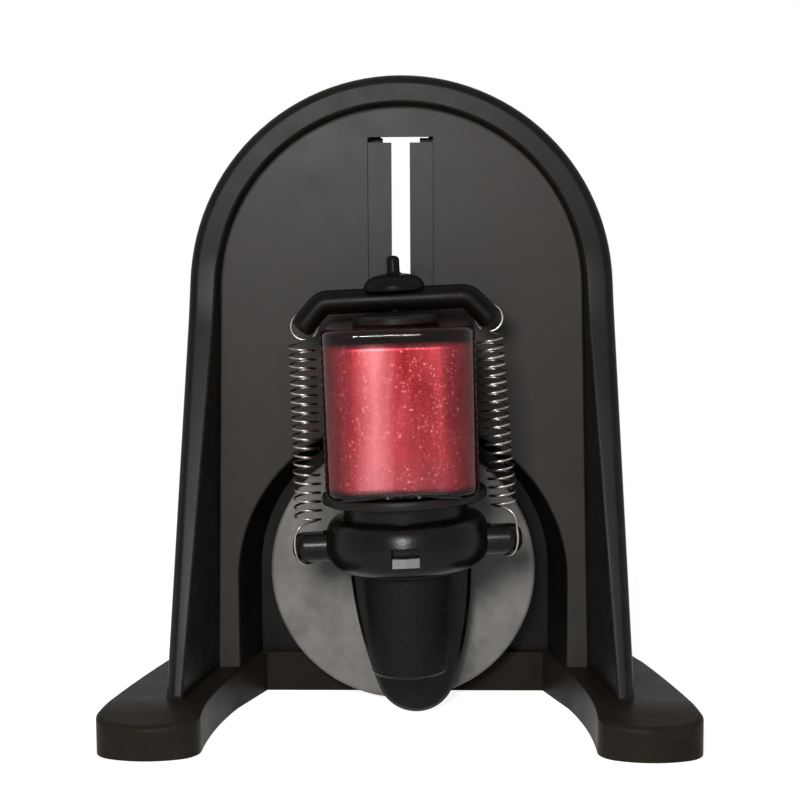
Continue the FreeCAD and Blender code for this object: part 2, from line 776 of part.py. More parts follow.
# row of vents in the back of the motor bay
vent_sketch = box(front(cover, "-%s" % REAR), "-vent_half", "vent_low", "vent_half", "vent_low + vent_height")
vent = pocket(cover, vent_sketch, "cover_wall + pad_height", flip=True)
vents = cover.newObject("PartDesign::LinearPattern", "vents")
vents.Originals = [vent]
vents.Direction = (vent_sketch, ["V_Axis"])
vents.Occurrences = 5
tie(vents, Length="4 * vent_pitch")
cover.Tip = vents
doc.recompute()
stand_at(cover)

# ---- guide rails -------------------------------------------------------------------


def guide_rail(label, sign):
    """One half of the guide: front lip, web, screw flange and back lip in one section."""
    web = "(opening_half + rail_wall)"
    lip = "(opening_half - lip_gap)"
    section = [("slot_half", "lip_sink"), (lip, "lip_sink"), (lip, RAIL_SEAT), (web, RAIL_SEAT),
               (web, "flange_depth"), ("flange_half", "flange_depth"), ("flange_half", FLANGE_BACK),
               (web, FLANGE_BACK), (web, RAIL_BACK), ("back_slot_half", RAIL_BACK),
               ("back_slot_half", CHANNEL_BACK), ("opening_half", CHANNEL_BACK),
               ("opening_half", LIP_BACK), ("slot_half", LIP_BACK)]
    rail = body(label)
    pad(rail, draw(plan(rail, "guide_low"), *[(sign + x, y) for x, y in section]), "guide_high - guide_low")
    # the front lip stops short of the top of the opening
    top = box(plan(rail, "guide_high"), sign + "slot_half", "lip_sink", sign + lip, LIP_BACK)
    pocket(rail, top, "lip_drop")
    screw_holes = front(rail, "-flange_depth")
    for x, z in RAIL_SPOTS:
        if x.startswith("-") == (sign == "-"):
            ring(screw_holes, x, z, "small_shank + lip_gap")
    pocket(rail, screw_holes, "back_lip_wall")
    stand_at(rail)


guide_rail("left_guide_rail", "-")
guide_rail("right_guide_rail", "")

# ---- screws and rubber feet --------------------------------------------------------

AHEAD = Rotation(Vector(1, 0, 0), 90)
BACKWARD = Rotation(Vector(1, 0, 0), -90)
UPWARD = Rotation()


def primitive(kind, owner_label, height="0", **properties):
    """A Part primitive with bound sizes, raised along its own axis."""
    made = doc.addObject("Part::" + kind, owner_label + "_" + kind.lower())
    tie(made, Placement__Base__z=height, **properties)
    return made


def screws(label, spots, heading, head, head_height, shank, length, cross=True):
    """A group of cross-head screws; each spot is where the underside of a head sits."""
    made = []
    for x, depth, height in spots:
        parts = [primitive("Cylinder", label, "-(%s)" % head_height, Radius=head, Height=head_height),
                 primitive("Cylinder", label, Radius=shank, Height=length)]
        screw = doc.addObject("Part::MultiFuse", label + "_blank")
        screw.Shapes = parts
        if cross:
            arms = [primitive("Box", label, "-(%s)" % head_height, Length="2 * cross_arm",
                              Width="2 * cross_half", Height="cross_depth") for _ in range(2)]
            tie(arms[0], Placement__Base__x="-cross_arm", Placement__Base__y="-cross_half")
            arms[1].Placement.Rotation = Rotation(Vector(0, 0, 1), 90)
            tie(arms[1], Placement__Base__x="cross_half", Placement__Base__y="-cross_arm")
            recess = doc.addObject("Part::MultiFuse", label + "_cross")
            recess.Shapes = arms
            blank, screw = screw, doc.addObject("Part::Cut", label + "_screw")
            screw.Base = blank
            screw.Tool = recess
        screw.Placement.Rotation = heading
        stand_at(screw, x, depth, height)
        made.append(screw)
    if len(made) == 1:
        made[0].Label = label
        subparts.append(made[0])
        return made[0]
    group = doc.addObject("Part::Compound", label)
    group.Label = label
    group.Links = made
    subparts.append(group)
    return group


screws("cover_screws", [(x, "-" + COVER_BACK, z) for x, z in COVER_SPOTS], AHEAD,
       "screw_head", "screw_head_height", "screw_shank", "screw_length")
screws("rail_screws", [(x, "-" + FLANGE_BACK, z) for x, z in RAIL_SPOTS], AHEAD,
       "small_head", "small_head_height", "small_shank", "small_length", cross=False)
screws("base_screws", [(x, "-(%s)" % y, "pad_height + screw_head_height") for x, y in BASE_SPOTS],
       UPWARD, "screw_head", "screw_head_height", "screw_shank", "base_screw_length", cross=False)
screws("motor_screws", [(x, "-recess_depth", z) for x, z in MOTOR_SPOTS], BACKWARD,
       "screw_head", "screw_head_height", "screw_shank",
       "recess_wall + motor_pad_wall + motor_screw_bite", cross=False)

feet = []
for x, y in PAD_SPOTS:
    foot = doc.addObject("Part::Cylinder", "rubber_foot")
    tie(foot, Radius="pad_radius", Height="pad_height + pad_sink")
    stand_at(foot, x, "-(%s)" % y)
    feet.append(foot)
rubber_feet = doc.addObject("Part::Compound", "rubber_feet")
rubber_feet.Label = "rubber_feet"
rubber_feet.Links = feet
subparts.append(rubber_feet)

# ---- motor with its pad, bearing and shaft -----------------------------------------

NOSE = "(%s - motor_nose_length)" % MOTOR_FACE
MOTOR_BACK = "(%s + motor_length)" % MOTOR_FACE
SHAFT_BACK = "(%s + shaft_tail)" % MOTOR_FACE
SHAFT_FRONT = "(disc_sink + shaft_set_back)"

motor = body("motor")
spin(motor, draw(side(motor),
                 (NOSE, "bearing_radius"), (NOSE + " + bearing_length", "bearing_radius"),
                 (NOSE + " + bearing_length", "shaft_radius + slide_gap"),
                 (SHAFT_BACK + " + slide_gap", "shaft_radius + slide_gap"), (SHAFT_BACK + " + slide_gap", "0"),
                 (MOTOR_BACK, "0"), (MOTOR_BACK, "motor_radius"), (MOTOR_FACE, "motor_radius"),
                 (MOTOR_FACE, "motor_nose_radius"), (NOSE, "motor_nose_radius")), "H_Axis")
dress(motor, "motor_bevel", lambda edge: flat_at(edge, "y", value(MOTOR_BACK)), "Chamfer")
threads = front(motor, "-" + MOTOR_FACE)
for x, _ in MOTOR_SPOTS:
    ring(threads, x, "0", "screw_shank + pilot_gap")
pocket(motor, threads, "motor_screw_bite + pilot_gap")
stand_at(motor, height="disc_height")

pad_ring = body("motor_pad")
disc = ring(front(pad_ring, "-(recess_depth + recess_wall)"), "0", "0", "motor_radius")
ring(disc, "0", "0", "motor_nose_radius + bush_gap")
for x, _ in MOTOR_SPOTS:
    ring(disc, x, "0", "screw_hole")
pad(pad_ring, disc, "motor_pad_wall", flip=True)
stand_at(pad_ring, height="disc_height")

bearing = body("motor_bearing")
tube = ring(front(bearing, "-" + NOSE), "0", "0", "bearing_radius")
ring(tube, "0", "0", "shaft_radius + bush_gap")
pad(bearing, tube, "bearing_length", flip=True)
stand_at(bearing, height="disc_height")

shaft = body("motor_shaft")
pad(shaft, ring(front(shaft, "-" + SHAFT_FRONT), "0", "0", "shaft_radius"),
    "%s - %s" % (SHAFT_BACK, SHAFT_FRONT), flip=True)
pocket(shaft, ring(front(shaft, "-" + SHAFT_FRONT), "0", "0", "disc_screw_shank"), "disc_screw_length")
on_crank(shaft)

# ---- crank disc --------------------------------------------------------------------

DISC_BACK = "(disc_sink + disc_wall)"
PIN_END = "(plate_clear - boss_rise - turn_gap)"

crank = body("crank_disc")
spin(crank, draw(side(crank),
                 ("disc_sink", "shaft_radius"), ("recess_depth - hub_gap", "shaft_radius"),
                 ("recess_depth - hub_gap", "hub_radius"), (DISC_BACK, "hub_radius"),
                 (DISC_BACK, "disc_radius"), ("disc_sink", "disc_radius")), "H_Axis")
dress(crank, "disc_bevel", lambda edge: edge.BoundBox.ZLength > 2 * value("disc_radius") - 1e-3, "Chamfer")
pocket(crank, ring(front(crank, "-disc_sink"), "0", "-crank_radius", "pin_root_radius"), "disc_wall")
on_crank(crank)

crank_pin = body("crank_pin")
for plane, radius, length in (("-" + DISC_BACK, "pin_root_radius", "disc_wall"),
                              ("-disc_sink", "pin_collar_radius", "pin_collar_wall"),
                              ("-disc_sink", "pin_radius", "disc_sink + " + PIN_END)):
    pad(crank_pin, ring(front(crank_pin, plane), "0", "-crank_radius", radius), length)
dress(crank_pin, "pin_bevel", lambda edge: flat_at(edge, "y", -value(PIN_END)), "Chamfer")
on_crank(crank_pin)

screws("disc_screw", [("0", "-disc_sink", "disc_height")], BACKWARD, "screw_head", "screw_head_height",
       "disc_screw_shank - bush_gap", "shaft_set_back + disc_screw_length - pilot_gap")

# ---- guide shoe and its pivot ------------------------------------------------------

SHOE_FRONT = "(%s + slide_gap)" % LIP_BACK
STUD_BACK = "(%s + channel_depth / 4)" % SHOE_FRONT
JOURNAL_END = "(%s - counterbore_depth + turn_gap)" % PLATE_FRONT

shoe = body("guide_shoe")
pad(shoe, box(front(shoe, "-" + SHOE_FRONT), "-(opening_half - slide_gap)", "-shoe_half_height",
              "opening_half - slide_gap", "shoe_half_height"), "channel_depth - 2 * slide_gap", flip=True)
dress(shoe, "shoe_bevel", lambda edge: edge.BoundBox.YLength > 1.0 and edge.BoundBox.ZLength < 1e-3,
      "Chamfer")
pad(shoe, box(front(shoe, "-" + SHOE_FRONT), "-(slot_half - slide_gap)", "-shoe_neck_half_height",
              "slot_half - slide_gap", "shoe_neck_half_height"), SHOE_FRONT + " + slide_gap")
pad(shoe, ring(front(shoe, "slide_gap"), "0", "0", "shoe_flange_radius"), PIN_END + " - slide_gap")
pocket(shoe, ring(front(shoe, PIN_END), "0", "0", "stud_radius"), "%s + %s" % (PIN_END, STUD_BACK))
stand_at(shoe, height=PIVOT_Z)

pivot = body("pivot_pin")
pad(pivot, ring(front(pivot, "-" + STUD_BACK), "0", "0", "stud_radius"), "%s + %s" % (STUD_BACK, PIN_END))
pad(pivot, ring(front(pivot, PIN_END), "0", "0", "journal_radius"), "%s - %s" % (JOURNAL_END, PIN_END))
pocket(pivot, ring(front(pivot, JOURNAL_END), "0", "0", "small_shank + pilot_gap"), "retainer_bite + pilot_gap")
stand_at(pivot, height=PIVOT_Z)

screws("pivot_retainer", [("0", JOURNAL_END, PIVOT_Z)], BACKWARD, "retainer_radius", "retainer_wall",
       "small_shank", "retainer_bite")

# ---- bottle carrier: plate, collar, neck and two ears in one moulding --------------

BOSS_BACK = "(plate_clear - boss_rise)"
PLATE_BOW = ("((plate_half ^ 2 + collar_height ^ 2 - plate_end_radius ^ 2) "
             "/ (2 * (plate_half - plate_end_radius)))")
SPLAY_X = "(plate_end_radius * sqrt(1 - (collar_height / (%s - plate_end_radius)) ^ 2))" % PLATE_BOW
SPLAY_Z = "-(link_length + plate_end_radius * collar_height / (%s - plate_end_radius))" % PLATE_BOW

carrier = body("bottle_carrier")
plate = draw(front(carrier, "plate_clear"),
             ("-" + SPLAY_X, SPLAY_Z, "plate_end_radius"),
             (SPLAY_X, SPLAY_Z, PLATE_BOW),
             ("plate_half", COLLAR_LOW), ("plate_half", COLLAR_TOP),
             ("strap_half", COLLAR_TOP + " + strap_run"), ("strap_half", "0", "strap_half"),
             ("0", "strap_half", "strap_half"),
             ("-strap_half", "0"), ("-strap_half", COLLAR_TOP + " + strap_run"),
             ("-plate_half", COLLAR_TOP), ("-plate_half", COLLAR_LOW, PLATE_BOW))
pad(carrier, plate, "plate_wall")
dress(carrier, "plate_bevel", lambda edge: flat_at(edge, "y", -value(PLATE_FRONT))
      and edge.CenterOfMass.z < value(COLLAR_LOW), "Chamfer")
bosses = ring(front(carrier, "plate_clear"), "0", "-link_length", "crank_boss_radius")
ring(bosses, "0", "0", "pivot_boss_radius")
pad(carrier, bosses, "boss_rise", flip=True)
# bridge from the plate to the collar
pad(carrier, box(front(carrier, "plate_clear + plate_bevel"), "-(plate_half - plate_bevel)", COLLAR_LOW,
                 "plate_half - plate_bevel", COLLAR_TOP), "plate_wall - plate_bevel + bridge_depth")
spin(carrier, draw(side(carrier, shift="-bottle_reach"),
                   ("0", COLLAR_LOW + " - lip_depth"), ("lip_radius", COLLAR_LOW + " - lip_depth"),
                   ("lip_radius", COLLAR_LOW), ("collar_low_radius", COLLAR_LOW), ("collar_radius", EAR_LEVEL),
                   ("collar_shoulder_radius", COLLAR_TOP + " - collar_shoulder"),
                   ("collar_top_radius", COLLAR_TOP), ("neck_radius", COLLAR_TOP), ("neck_radius", NECK_TOP),
                   ("0", NECK_TOP)))
# the ears: a round-bottomed hook body with a thin flange behind it that keeps the spring's ring on
ear_flange = pad(carrier, draw(front(carrier, "bottle_reach - flange_wall"),
                               ("ear_root", EAR_LEVEL + " - ear_low - flange_drop"),
                               ("ear_half + flange_reach - ear_curve", EAR_LEVEL + " - ear_low - flange_drop",
                                "ear_curve"),
                               ("ear_half + flange_reach", EAR_LEVEL + " - ear_low - flange_drop + ear_curve"),
                               ("ear_half", EAR_LEVEL + " + ear_top"), ("ear_root", EAR_LEVEL + " + ear_top")),
                 "flange_wall")
ear_hook = pad(carrier, draw(front(carrier, "bottle_reach - flange_wall"),
                             ("ear_root", EAR_LEVEL + " - ear_low"),
                             ("ear_half - ear_curve", EAR_LEVEL + " - ear_low", "ear_curve"),
                             ("ear_half", EAR_LEVEL + " - ear_low + ear_curve"),
                             ("ear_half", EAR_LEVEL + " + ear_top"), ("ear_root", EAR_LEVEL + " + ear_top")),
               "flange_wall + ear_front")
ears = carrier.newObject("PartDesign::Mirrored", "left_ear")
ears.Originals = [ear_flange, ear_hook]
ears.MirrorPlane = ([f for f in carrier.Origin.OriginFeatures if f.Role == "YZ_Plane"][0], [""])
carrier.Tip = ears
doc.recompute()
# bore for the bottle's cap, notch in the front of the collar, seats for the two bushes
pocket(carrier, ring(plan(carrier, NECK_TOP), "0", "-bottle_reach", "collar_bore"),
       "collar_depth + neck_height + 2 * lip_depth")
notch = box(front(carrier, "bottle_reach + collar_radius"), "-notch_half", COLLAR_LOW + " + notch_low",
            "notch_half", COLLAR_LOW + " + notch_high")
pocket(carrier, notch, "notch_depth")
pocket(carrier, ring(front(carrier, BOSS_BACK), "0", "-link_length", "crank_bush_radius"),
       "crank_bush_depth", flip=True)
pocket(carrier, ring(front(carrier, PLATE_FRONT), "0", "0", "pivot_bush_radius"), "plate_wall + boss_rise")
pocket(carrier, ring(front(carrier, PLATE_FRONT), "0", "0", "counterbore_radius"), "counterbore_depth")
on_carrier(carrier)


def bush(label, depth, height, outer, inner, length):
    """A plain bush whose back end lies at a depth, pressed into the carrier."""
    made = body(label)
    section = ring(front(made, depth), "0", height, outer)
    ring(section, "0", height, inner)
    pad(made, section, length)
    on_carrier(made)


bush("pivot_bush", BOSS_BACK, "0", "pivot_bush_radius", "journal_radius + bush_gap",
     "plate_wall + boss_rise - counterbore_depth")
bush("crank_bush", BOSS_BACK, "-link_length", "crank_bush_radius", "pin_radius + bush_gap", "crank_bush_depth")

seat = body("seat_ring")
spin(seat, draw(side(seat, shift="-bottle_reach"), ("collar_bore", NECK_TOP), ("seat_radius", NECK_TOP),
                ("seat_radius", GLASS_LOW), ("collar_bore", GLASS_LOW)))
dress(seat, "seat_bevel", lambda edge: edge.BoundBox.XLength > 2 * value("seat_radius") - 1e-3, "Chamfer")
on_carrier(seat)

# ---- bottle, upside down on the seat ring ------------------------------------------


def rounded_square(made, half, corner):
    """A square with round corners about the bottle's axis."""
    near, far = "-(bottle_reach + (%s))" % half, "-(bottle_reach - (%s))" % half
    x, inner = "(%s)" % half, "((%s) - (%s))" % (half, corner)
    return draw(made, (inner, near, corner), (x, "-(bottle_reach + %s)" % inner),
                (x, "-(bottle_reach - %s)" % inner, corner), (inner, far),
                ("-" + inner, far, corner), ("-" + x, "-(bottle_reach - %s)" % inner),
                ("-" + x, "-(bottle_reach + %s)" % inner, corner), ("-" + inner, near))


NECK_MOUTH = "(%s - bottle_neck_length)" % GLASS_LOW
CAP_FLOOR = "(%s - cap_skirt)" % GLASS_LOW
CAVITY = ("glass_half - glass_wall", "glass_corner - glass_wall")
CAVITY_HEIGHT = "(glass_height - glass_base - glass_shoulder)"

glass = body("bottle_glass")
pad(glass, rounded_square(plan(glass, GLASS_LOW), "glass_half", "glass_corner"), "glass_height")
dress(glass, "shoulder_bevel", lambda edge: flat_at(edge, "z", value(GLASS_LOW)), "Chamfer")
dress(glass, "base_edge_bevel", lambda edge: flat_at(edge, "z", value(GLASS_TOP)), "Chamfer")
pad(glass, ring(plan(glass, NECK_MOUTH), "0", "-bottle_reach", "bottle_neck_radius"),
    "bottle_neck_length + glass_shoulder / 2")
pocket(glass, rounded_square(plan(glass, GLASS_TOP + " - glass_base"), *CAVITY), CAVITY_HEIGHT)
pocket(glass, ring(plan(glass, NECK_MOUTH), "0", "-bottle_reach", "bottle_neck_bore"),
       "bottle_neck_length + glass_shoulder + polish_gap", flip=True)
on_carrier(glass)

polish = body("bottle_polish")
pad(polish, rounded_square(plan(polish, GLASS_LOW + " + glass_shoulder + polish_gap"),
                           *[size + " - polish_gap" for size in CAVITY]),
    CAVITY_HEIGHT + " - air_gap")
room = ring(plan(polish, GLASS_LOW + " + glass_shoulder + polish_gap"), "0", "-bottle_reach",
            "bristle_radius + brush_gap")
pocket(polish, room, "stem_length - cap_skirt - glass_shoulder + brush_gap", flip=True)
on_carrier(polish)

cap = body("bottle_cap")
spin(cap, draw(side(cap, shift="-bottle_reach"),
               ("0", GLASS_LOW + " - cap_length"), ("cap_tip_radius", GLASS_LOW + " - cap_length"),
               ("cap_mouth_radius", GLASS_LOW + " - polish_gap"), ("cap_bore", GLASS_LOW + " - polish_gap"),
               ("cap_bore", CAP_FLOOR), ("0", CAP_FLOOR)))
dress(cap, "cap_bevel", lambda edge: flat_at(edge, "z", value(GLASS_LOW + " - cap_length")), "Chamfer")
on_carrier(cap)

brush = body("brush")
spin(brush, draw(side(brush, shift="-bottle_reach"),
                 ("0", CAP_FLOOR), ("brush_plug_radius", CAP_FLOOR),
                 ("brush_plug_radius", CAP_FLOOR + " + brush_plug_wall"),
                 ("stem_radius", CAP_FLOOR + " + brush_plug_wall"),
                 ("stem_radius", CAP_FLOOR + " + stem_length - bristle_length"),
                 ("bristle_radius", CAP_FLOOR + " + stem_length - bristle_length"),
                 ("bristle_radius", CAP_FLOOR + " + stem_length"), ("0", CAP_FLOOR + " + stem_length")))
on_carrier(brush)

# ---- spring clamp ------------------------------------------------------------------

PIN_HOLE = "(knob_pin_radius + pilot_gap)"
BEND_X = "(bar_straight + bar_bend * sin(bar_bend_angle))"
BEND_Z = "(%s - bar_bend * (1 - cos(bar_bend_angle)))" % BAR_AXIS

press = body("pressure_foot")
spin(press, draw(side(press, shift="-bottle_reach"),
                 (PIN_HOLE, GLASS_TOP), ("foot_pad_radius", GLASS_TOP),
                 ("foot_pad_radius", GLASS_TOP + " + foot_pad_wall"),
                 ("foot_neck_radius", GLASS_TOP + " + foot_pad_wall"),
                 ("foot_neck_radius", FOOT_TOP), (PIN_HOLE, FOOT_TOP)))
dress(press, "foot_pad_bevel", lambda edge: edge.BoundBox.XLength > 2 * value("foot_pad_radius") - 1e-3,
      "Chamfer")
on_carrier(press)

bar = body("clamp_bar")
spine = draw(front(bar, "bottle_reach"), ("0", BAR_AXIS), ("bar_straight", BAR_AXIS, "-bar_bend"),
             (BEND_X, BEND_Z), (BEND_X + " + bar_tip * cos(bar_bend_angle)",
                                BEND_Z + " - bar_tip * sin(bar_bend_angle)"), closed=False)
rod = bar.newObject("PartDesign::AdditivePipe", "rod")
rod.Profile = ring(side(bar), "-bottle_reach", BAR_AXIS, "bar_radius")
rod.Spine = spine
doc.recompute()
dress(bar, "bar_end_bevel", lambda edge: edge.CenterOfMass.x > value(BEND_X) + 0.1 * value("bar_tip")
      and abs(edge.Length - 2 * math.pi * value("bar_radius")) < 1e-3, "Chamfer")
pad(bar, ring(front(bar, "bottle_reach"), "peg_half", BAR_AXIS + " - peg_drop", "peg_radius"),
    "bar_radius + peg_length", flip=True)
other_half = bar.newObject("PartDesign::Mirrored", "other_half")
other_half.TransformMode = "Whole shape"
other_half.MirrorPlane = ([f for f in bar.Origin.OriginFeatures if f.Role == "YZ_Plane"][0], [""])
bar.Tip = other_half
doc.recompute()
pad(bar, ring(plan(bar, FOOT_TOP), "0", "-bottle_reach", "bar_hub_radius"),
    "bar_hub_drop + 2 * bar_radius + bar_hub_rise")
pocket(bar, ring(plan(bar, KNOB_LOW), "0", "-bottle_reach", PIN_HOLE),
       "bar_hub_drop + 2 * bar_radius + bar_hub_rise")
on_carrier(bar)

knob = body("clamp_knob")
KNOB_TOP = "(%s + knob_height)" % KNOB_LOW
spin(knob, draw(side(knob, shift="-bottle_reach"),
                ("0", GLASS_TOP + " + foot_pad_bevel"), ("knob_pin_radius", GLASS_TOP + " + foot_pad_bevel"),
                ("knob_pin_radius", KNOB_LOW), ("knob_radius", KNOB_LOW),
                ("knob_radius", KNOB_LOW + " + knob_edge"), ("knob_top_radius", KNOB_TOP),
                ("knob_pin_radius", KNOB_TOP),
                ("knob_pin_radius", KNOB_TOP + " + knob_pin_rise - knob_pin_bevel"),
                ("knob_pin_radius - knob_pin_bevel", KNOB_TOP + " + knob_pin_rise"),
                ("0", KNOB_TOP + " + knob_pin_rise")))
on_carrier(knob)

# ---- extension springs -------------------------------------------------------------

PEG_Z = "(%s - peg_drop)" % BAR_AXIS
HOOK_DROP = "sqrt(hook_radius ^ 2 - (hook_half - peg_half) ^ 2)"
HOOK_Z = "(%s + peg_radius + wire_radius + lip_gap - %s)" % (PEG_Z, HOOK_DROP)
HOOK_BACK = "(bottle_reach - bar_radius - wire_radius - slide_gap)"


def bent_wire(points, radius):
    """A solid wire with a square section and flat sides along a line of points."""
    sections = []
    across = None
    for here, point in enumerate(points):
        before, after = points[max(here - 1, 0)], points[min(here + 1, len(points) - 1)]
        along = (after - before).normalize()
        across = across or along.cross(Vector(0, 0, 1) if abs(along.z) < 0.9 else Vector(1, 0, 0))
        across = (across - along * across.dot(along)).normalize()
        other = along.cross(across)
        sections.append([point + across * (radius * a) + other * (radius * b)
                         for a, b in ((1, 1), (-1, 1), (-1, -1), (1, -1))])
    faces = [Part.Face(Part.makePolygon(end + end[:1])) for end in (sections[0], sections[-1])]
    for low, high in zip(sections, sections[1:]):
        for here in range(4):
            after = (here + 1) % 4
            for three in ((low[here], low[after], high[after]), (low[here], high[after], high[here])):
                faces.append(Part.Face(Part.makePolygon([*three, three[0]])))
    solid = Part.Solid(Part.Shell(faces))
    if solid.Volume < 0:
        solid.reverse()
    return solid


def spring(label, sign):
    """Close coil with an open ring over the clamp bar's peg and a hook round the carrier's ear."""
    x_mid, ring_x, depth = value("spring_half"), value("hook_half"), value("bottle_reach")
    coil, ring_radius = value("coil_radius"), value("hook_radius")
    low, high = value("coil_low - link_length"), value("coil_high - link_length")
    ring_z, ring_depth = value(HOOK_Z), value(HOOK_BACK)
    ear_x, ear_z = value("ear_half + wire_radius + lip_gap"), value(EAR_LEVEL + " - ear_low + ear_curve")
    bend = value("ear_curve + wire_radius + lip_gap")
    hook_depth = value("bottle_reach + hook_depth")
    # hook round the ear, from its tip out and up to the coil
    path = [(ear_x - bend + bend * math.sin(math.radians(turn)), hook_depth,
             ear_z - bend * math.cos(math.radians(turn))) for turn in range(-8, 91, 14)]
    path.append((ear_x, hook_depth, low - value("wire_radius")))
    turns = round((high - low) / value("coil_pitch")) + 0.5
    steps = round(6 * turns)
    for step in range(steps + 1):
        turn = math.radians(360 * turns * step / steps)
        path.append((x_mid + coil * math.cos(turn), depth - coil * math.sin(turn),
                     low + (high - low) * step / steps))
    # ring behind the bar end, open at its foot
    path += [(ring_x + ring_radius * math.cos(math.radians(turn)), ring_depth,
              ring_z + ring_radius * math.sin(math.radians(turn))) for turn in range(220, -76, -20)]
    made = doc.addObject("Part::Feature", label)
    made.Label = label
    made.Shape = bent_wire([Vector(sign * x, -y, z) for x, y, z in path], value("wire_radius"))
    subparts.append(made)
    on_carrier(made)


spring("left_spring", -1)
spring("right_spring", 1)

# ---- power switch, button and inlet ------------------------------------------------

SWITCH_WELL = "(button_length - button_rise - cover_wall + button_travel + slide_gap)"

switch = body("power_switch")
pad(switch, box(front(switch, "-shell_depth"), "button_half - switch_half", "button_height - switch_half",
                "button_half + switch_half", "button_height + switch_half"), "switch_depth")
for radius, length in (("button_radius", SWITCH_WELL),
                       ("button_stem_radius", SWITCH_WELL + " + button_stem_length")):
    well = ring(front(switch, "-shell_depth"), "button_half", "button_height", radius + " + slide_gap")
    pocket(switch, well, length, flip=True)
stand_at(switch)

button = body("power_button")
BUTTON_BACK = "(%s + button_rise)" % COVER_BACK
cap_disc = ring(front(button, "-" + BUTTON_BACK), "button_half", "button_height", "button_radius")
pad(button, cap_disc, "button_length")
dress(button, "disc_bevel", lambda edge: flat_at(edge, "y", value(BUTTON_BACK)), "Chamfer")
pad(button, ring(front(button, "-(%s - button_length)" % BUTTON_BACK), "button_half", "button_height",
                 "button_stem_radius"), "button_stem_length")
stand_at(button)

jack = body("dc_jack")
pad(jack, ring(front(jack, "-" + COVER_BACK), "-jack_half", "jack_height", "jack_flange_radius"),
    "jack_flange_wall", flip=True)
pad(jack, ring(front(jack, "-" + COVER_BACK), "-jack_half", "jack_height", "jack_radius"), "jack_length")
bore = ring(front(jack, "-(%s + jack_flange_wall)" % COVER_BACK), "-jack_half", "jack_height", "jack_bore")
pocket(jack, bore, "jack_bore_depth", flip=True)
stand_at(jack)

nut = body("jack_nut")
hexagon = [("-jack_half + jack_nut_radius * cos(%d)" % turn, "jack_height + jack_nut_radius * sin(%d)" % turn)
           for turn in range(0, 360, 60)]
flats = draw(front(nut, "-shell_depth"), *hexagon)
ring(flats, "-jack_half", "jack_height", "jack_radius + bush_gap")
pad(nut, flats, "jack_nut_wall")
stand_at(nut)

# ---- check and export --------------------------------------------------------------

doc.recompute()
for thing in doc.Objects:
    if "Invalid" in thing.State or "Error" in thing.State:
        raise RuntimeError("%s does not build: %s" % (thing.Label, thing.State))
for node in subparts:
    if node.Shape.isNull() or not node.Shape.isValid() or node.Shape.Volume <= 0:
        raise RuntimeError("%s has no valid shape" % node.Label)
    node.Shape.exportStep("parts/%s.step" % node.Label)
print("%d sub-parts exported" % len(subparts))
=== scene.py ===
import bmesh
import bpy
import math
from mathutils import Matrix, Vector


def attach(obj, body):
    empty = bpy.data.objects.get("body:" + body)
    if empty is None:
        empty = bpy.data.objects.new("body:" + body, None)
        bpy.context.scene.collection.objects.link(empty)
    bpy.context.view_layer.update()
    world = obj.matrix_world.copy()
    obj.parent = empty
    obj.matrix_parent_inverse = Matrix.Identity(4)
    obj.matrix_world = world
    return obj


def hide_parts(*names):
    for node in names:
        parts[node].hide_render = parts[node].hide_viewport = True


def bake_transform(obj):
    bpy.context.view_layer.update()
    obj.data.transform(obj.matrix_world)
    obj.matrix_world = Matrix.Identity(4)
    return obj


# Shaker for a bottle of nail polish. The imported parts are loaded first, in metres, with X to
# the right, Y to the back and Z up. Each section below dresses one piece or one group of like
# pieces, in the order in which the machine is put together.

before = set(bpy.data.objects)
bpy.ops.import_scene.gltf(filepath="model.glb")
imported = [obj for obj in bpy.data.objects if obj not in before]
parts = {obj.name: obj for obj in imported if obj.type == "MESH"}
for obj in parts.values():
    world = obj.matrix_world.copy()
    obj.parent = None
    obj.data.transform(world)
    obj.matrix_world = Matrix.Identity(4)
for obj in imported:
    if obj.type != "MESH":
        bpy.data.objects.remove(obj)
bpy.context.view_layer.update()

# ---- front shell ------------------------------------------------------------------------
# The arched shell is one injection moulding in black ABS, with a fine spark-eroded grain.
# Its raised rim, main panel and crank recess are drafted to come out of the mould, and the
# outer edges are rounded so that it is kind to the hand.


def add(tree, kind, **inputs):
    """A node of a material or a group, with plain values on its named inputs."""
    made = tree.nodes.new("ShaderNode" + kind)
    for name, number in inputs.items():
        made.inputs[name.replace("_", " ")].default_value = number
    return made


def add_math(tree, operation):
    """A math node of one kind."""
    made = add(tree, "Math")
    made.operation = operation
    return made


def new_group(name, inputs, outputs):
    """An empty node group with float inputs and outputs, and its two end nodes."""
    tree = bpy.data.node_groups.new(name, "ShaderNodeTree")
    for label, number in inputs.items():
        socket = tree.interface.new_socket(label, in_out="INPUT", socket_type="NodeSocketFloat")
        socket.default_value = number
    for label in outputs:
        tree.interface.new_socket(label, in_out="OUTPUT", socket_type="NodeSocketFloat")
    return tree, tree.nodes.new("NodeGroupInput"), tree.nodes.new("NodeGroupOutput")


# moulded grain: fine rounded pits with a slow unevenness laid over them
moulded_grain, start, end = new_group("moulded_grain", {"Scale": 2400.0, "Slow Scale": 60.0},
                                      ["Height", "Cloud"])
place = add(moulded_grain, "TexCoord")
pits = add(moulded_grain, "TexVoronoi")
pits.feature = "SMOOTH_F1"
fine = add(moulded_grain, "TexNoise", Detail=3.0, Roughness=0.6)
cloud = add(moulded_grain, "TexNoise", Detail=4.0, Roughness=0.55)
both = add_math(moulded_grain, "ADD")
for texture, scale in ((pits, "Scale"), (fine, "Scale"), (cloud, "Slow Scale")):
    moulded_grain.links.new(place.outputs["Object"], texture.inputs["Vector"])
    moulded_grain.links.new(start.outputs[scale], texture.inputs["Scale"])
moulded_grain.links.new(pits.outputs["Distance"], both.inputs[0])
moulded_grain.links.new(fine.outputs["Fac"], both.inputs[1])
moulded_grain.links.new(both.outputs["Value"], end.inputs["Height"])
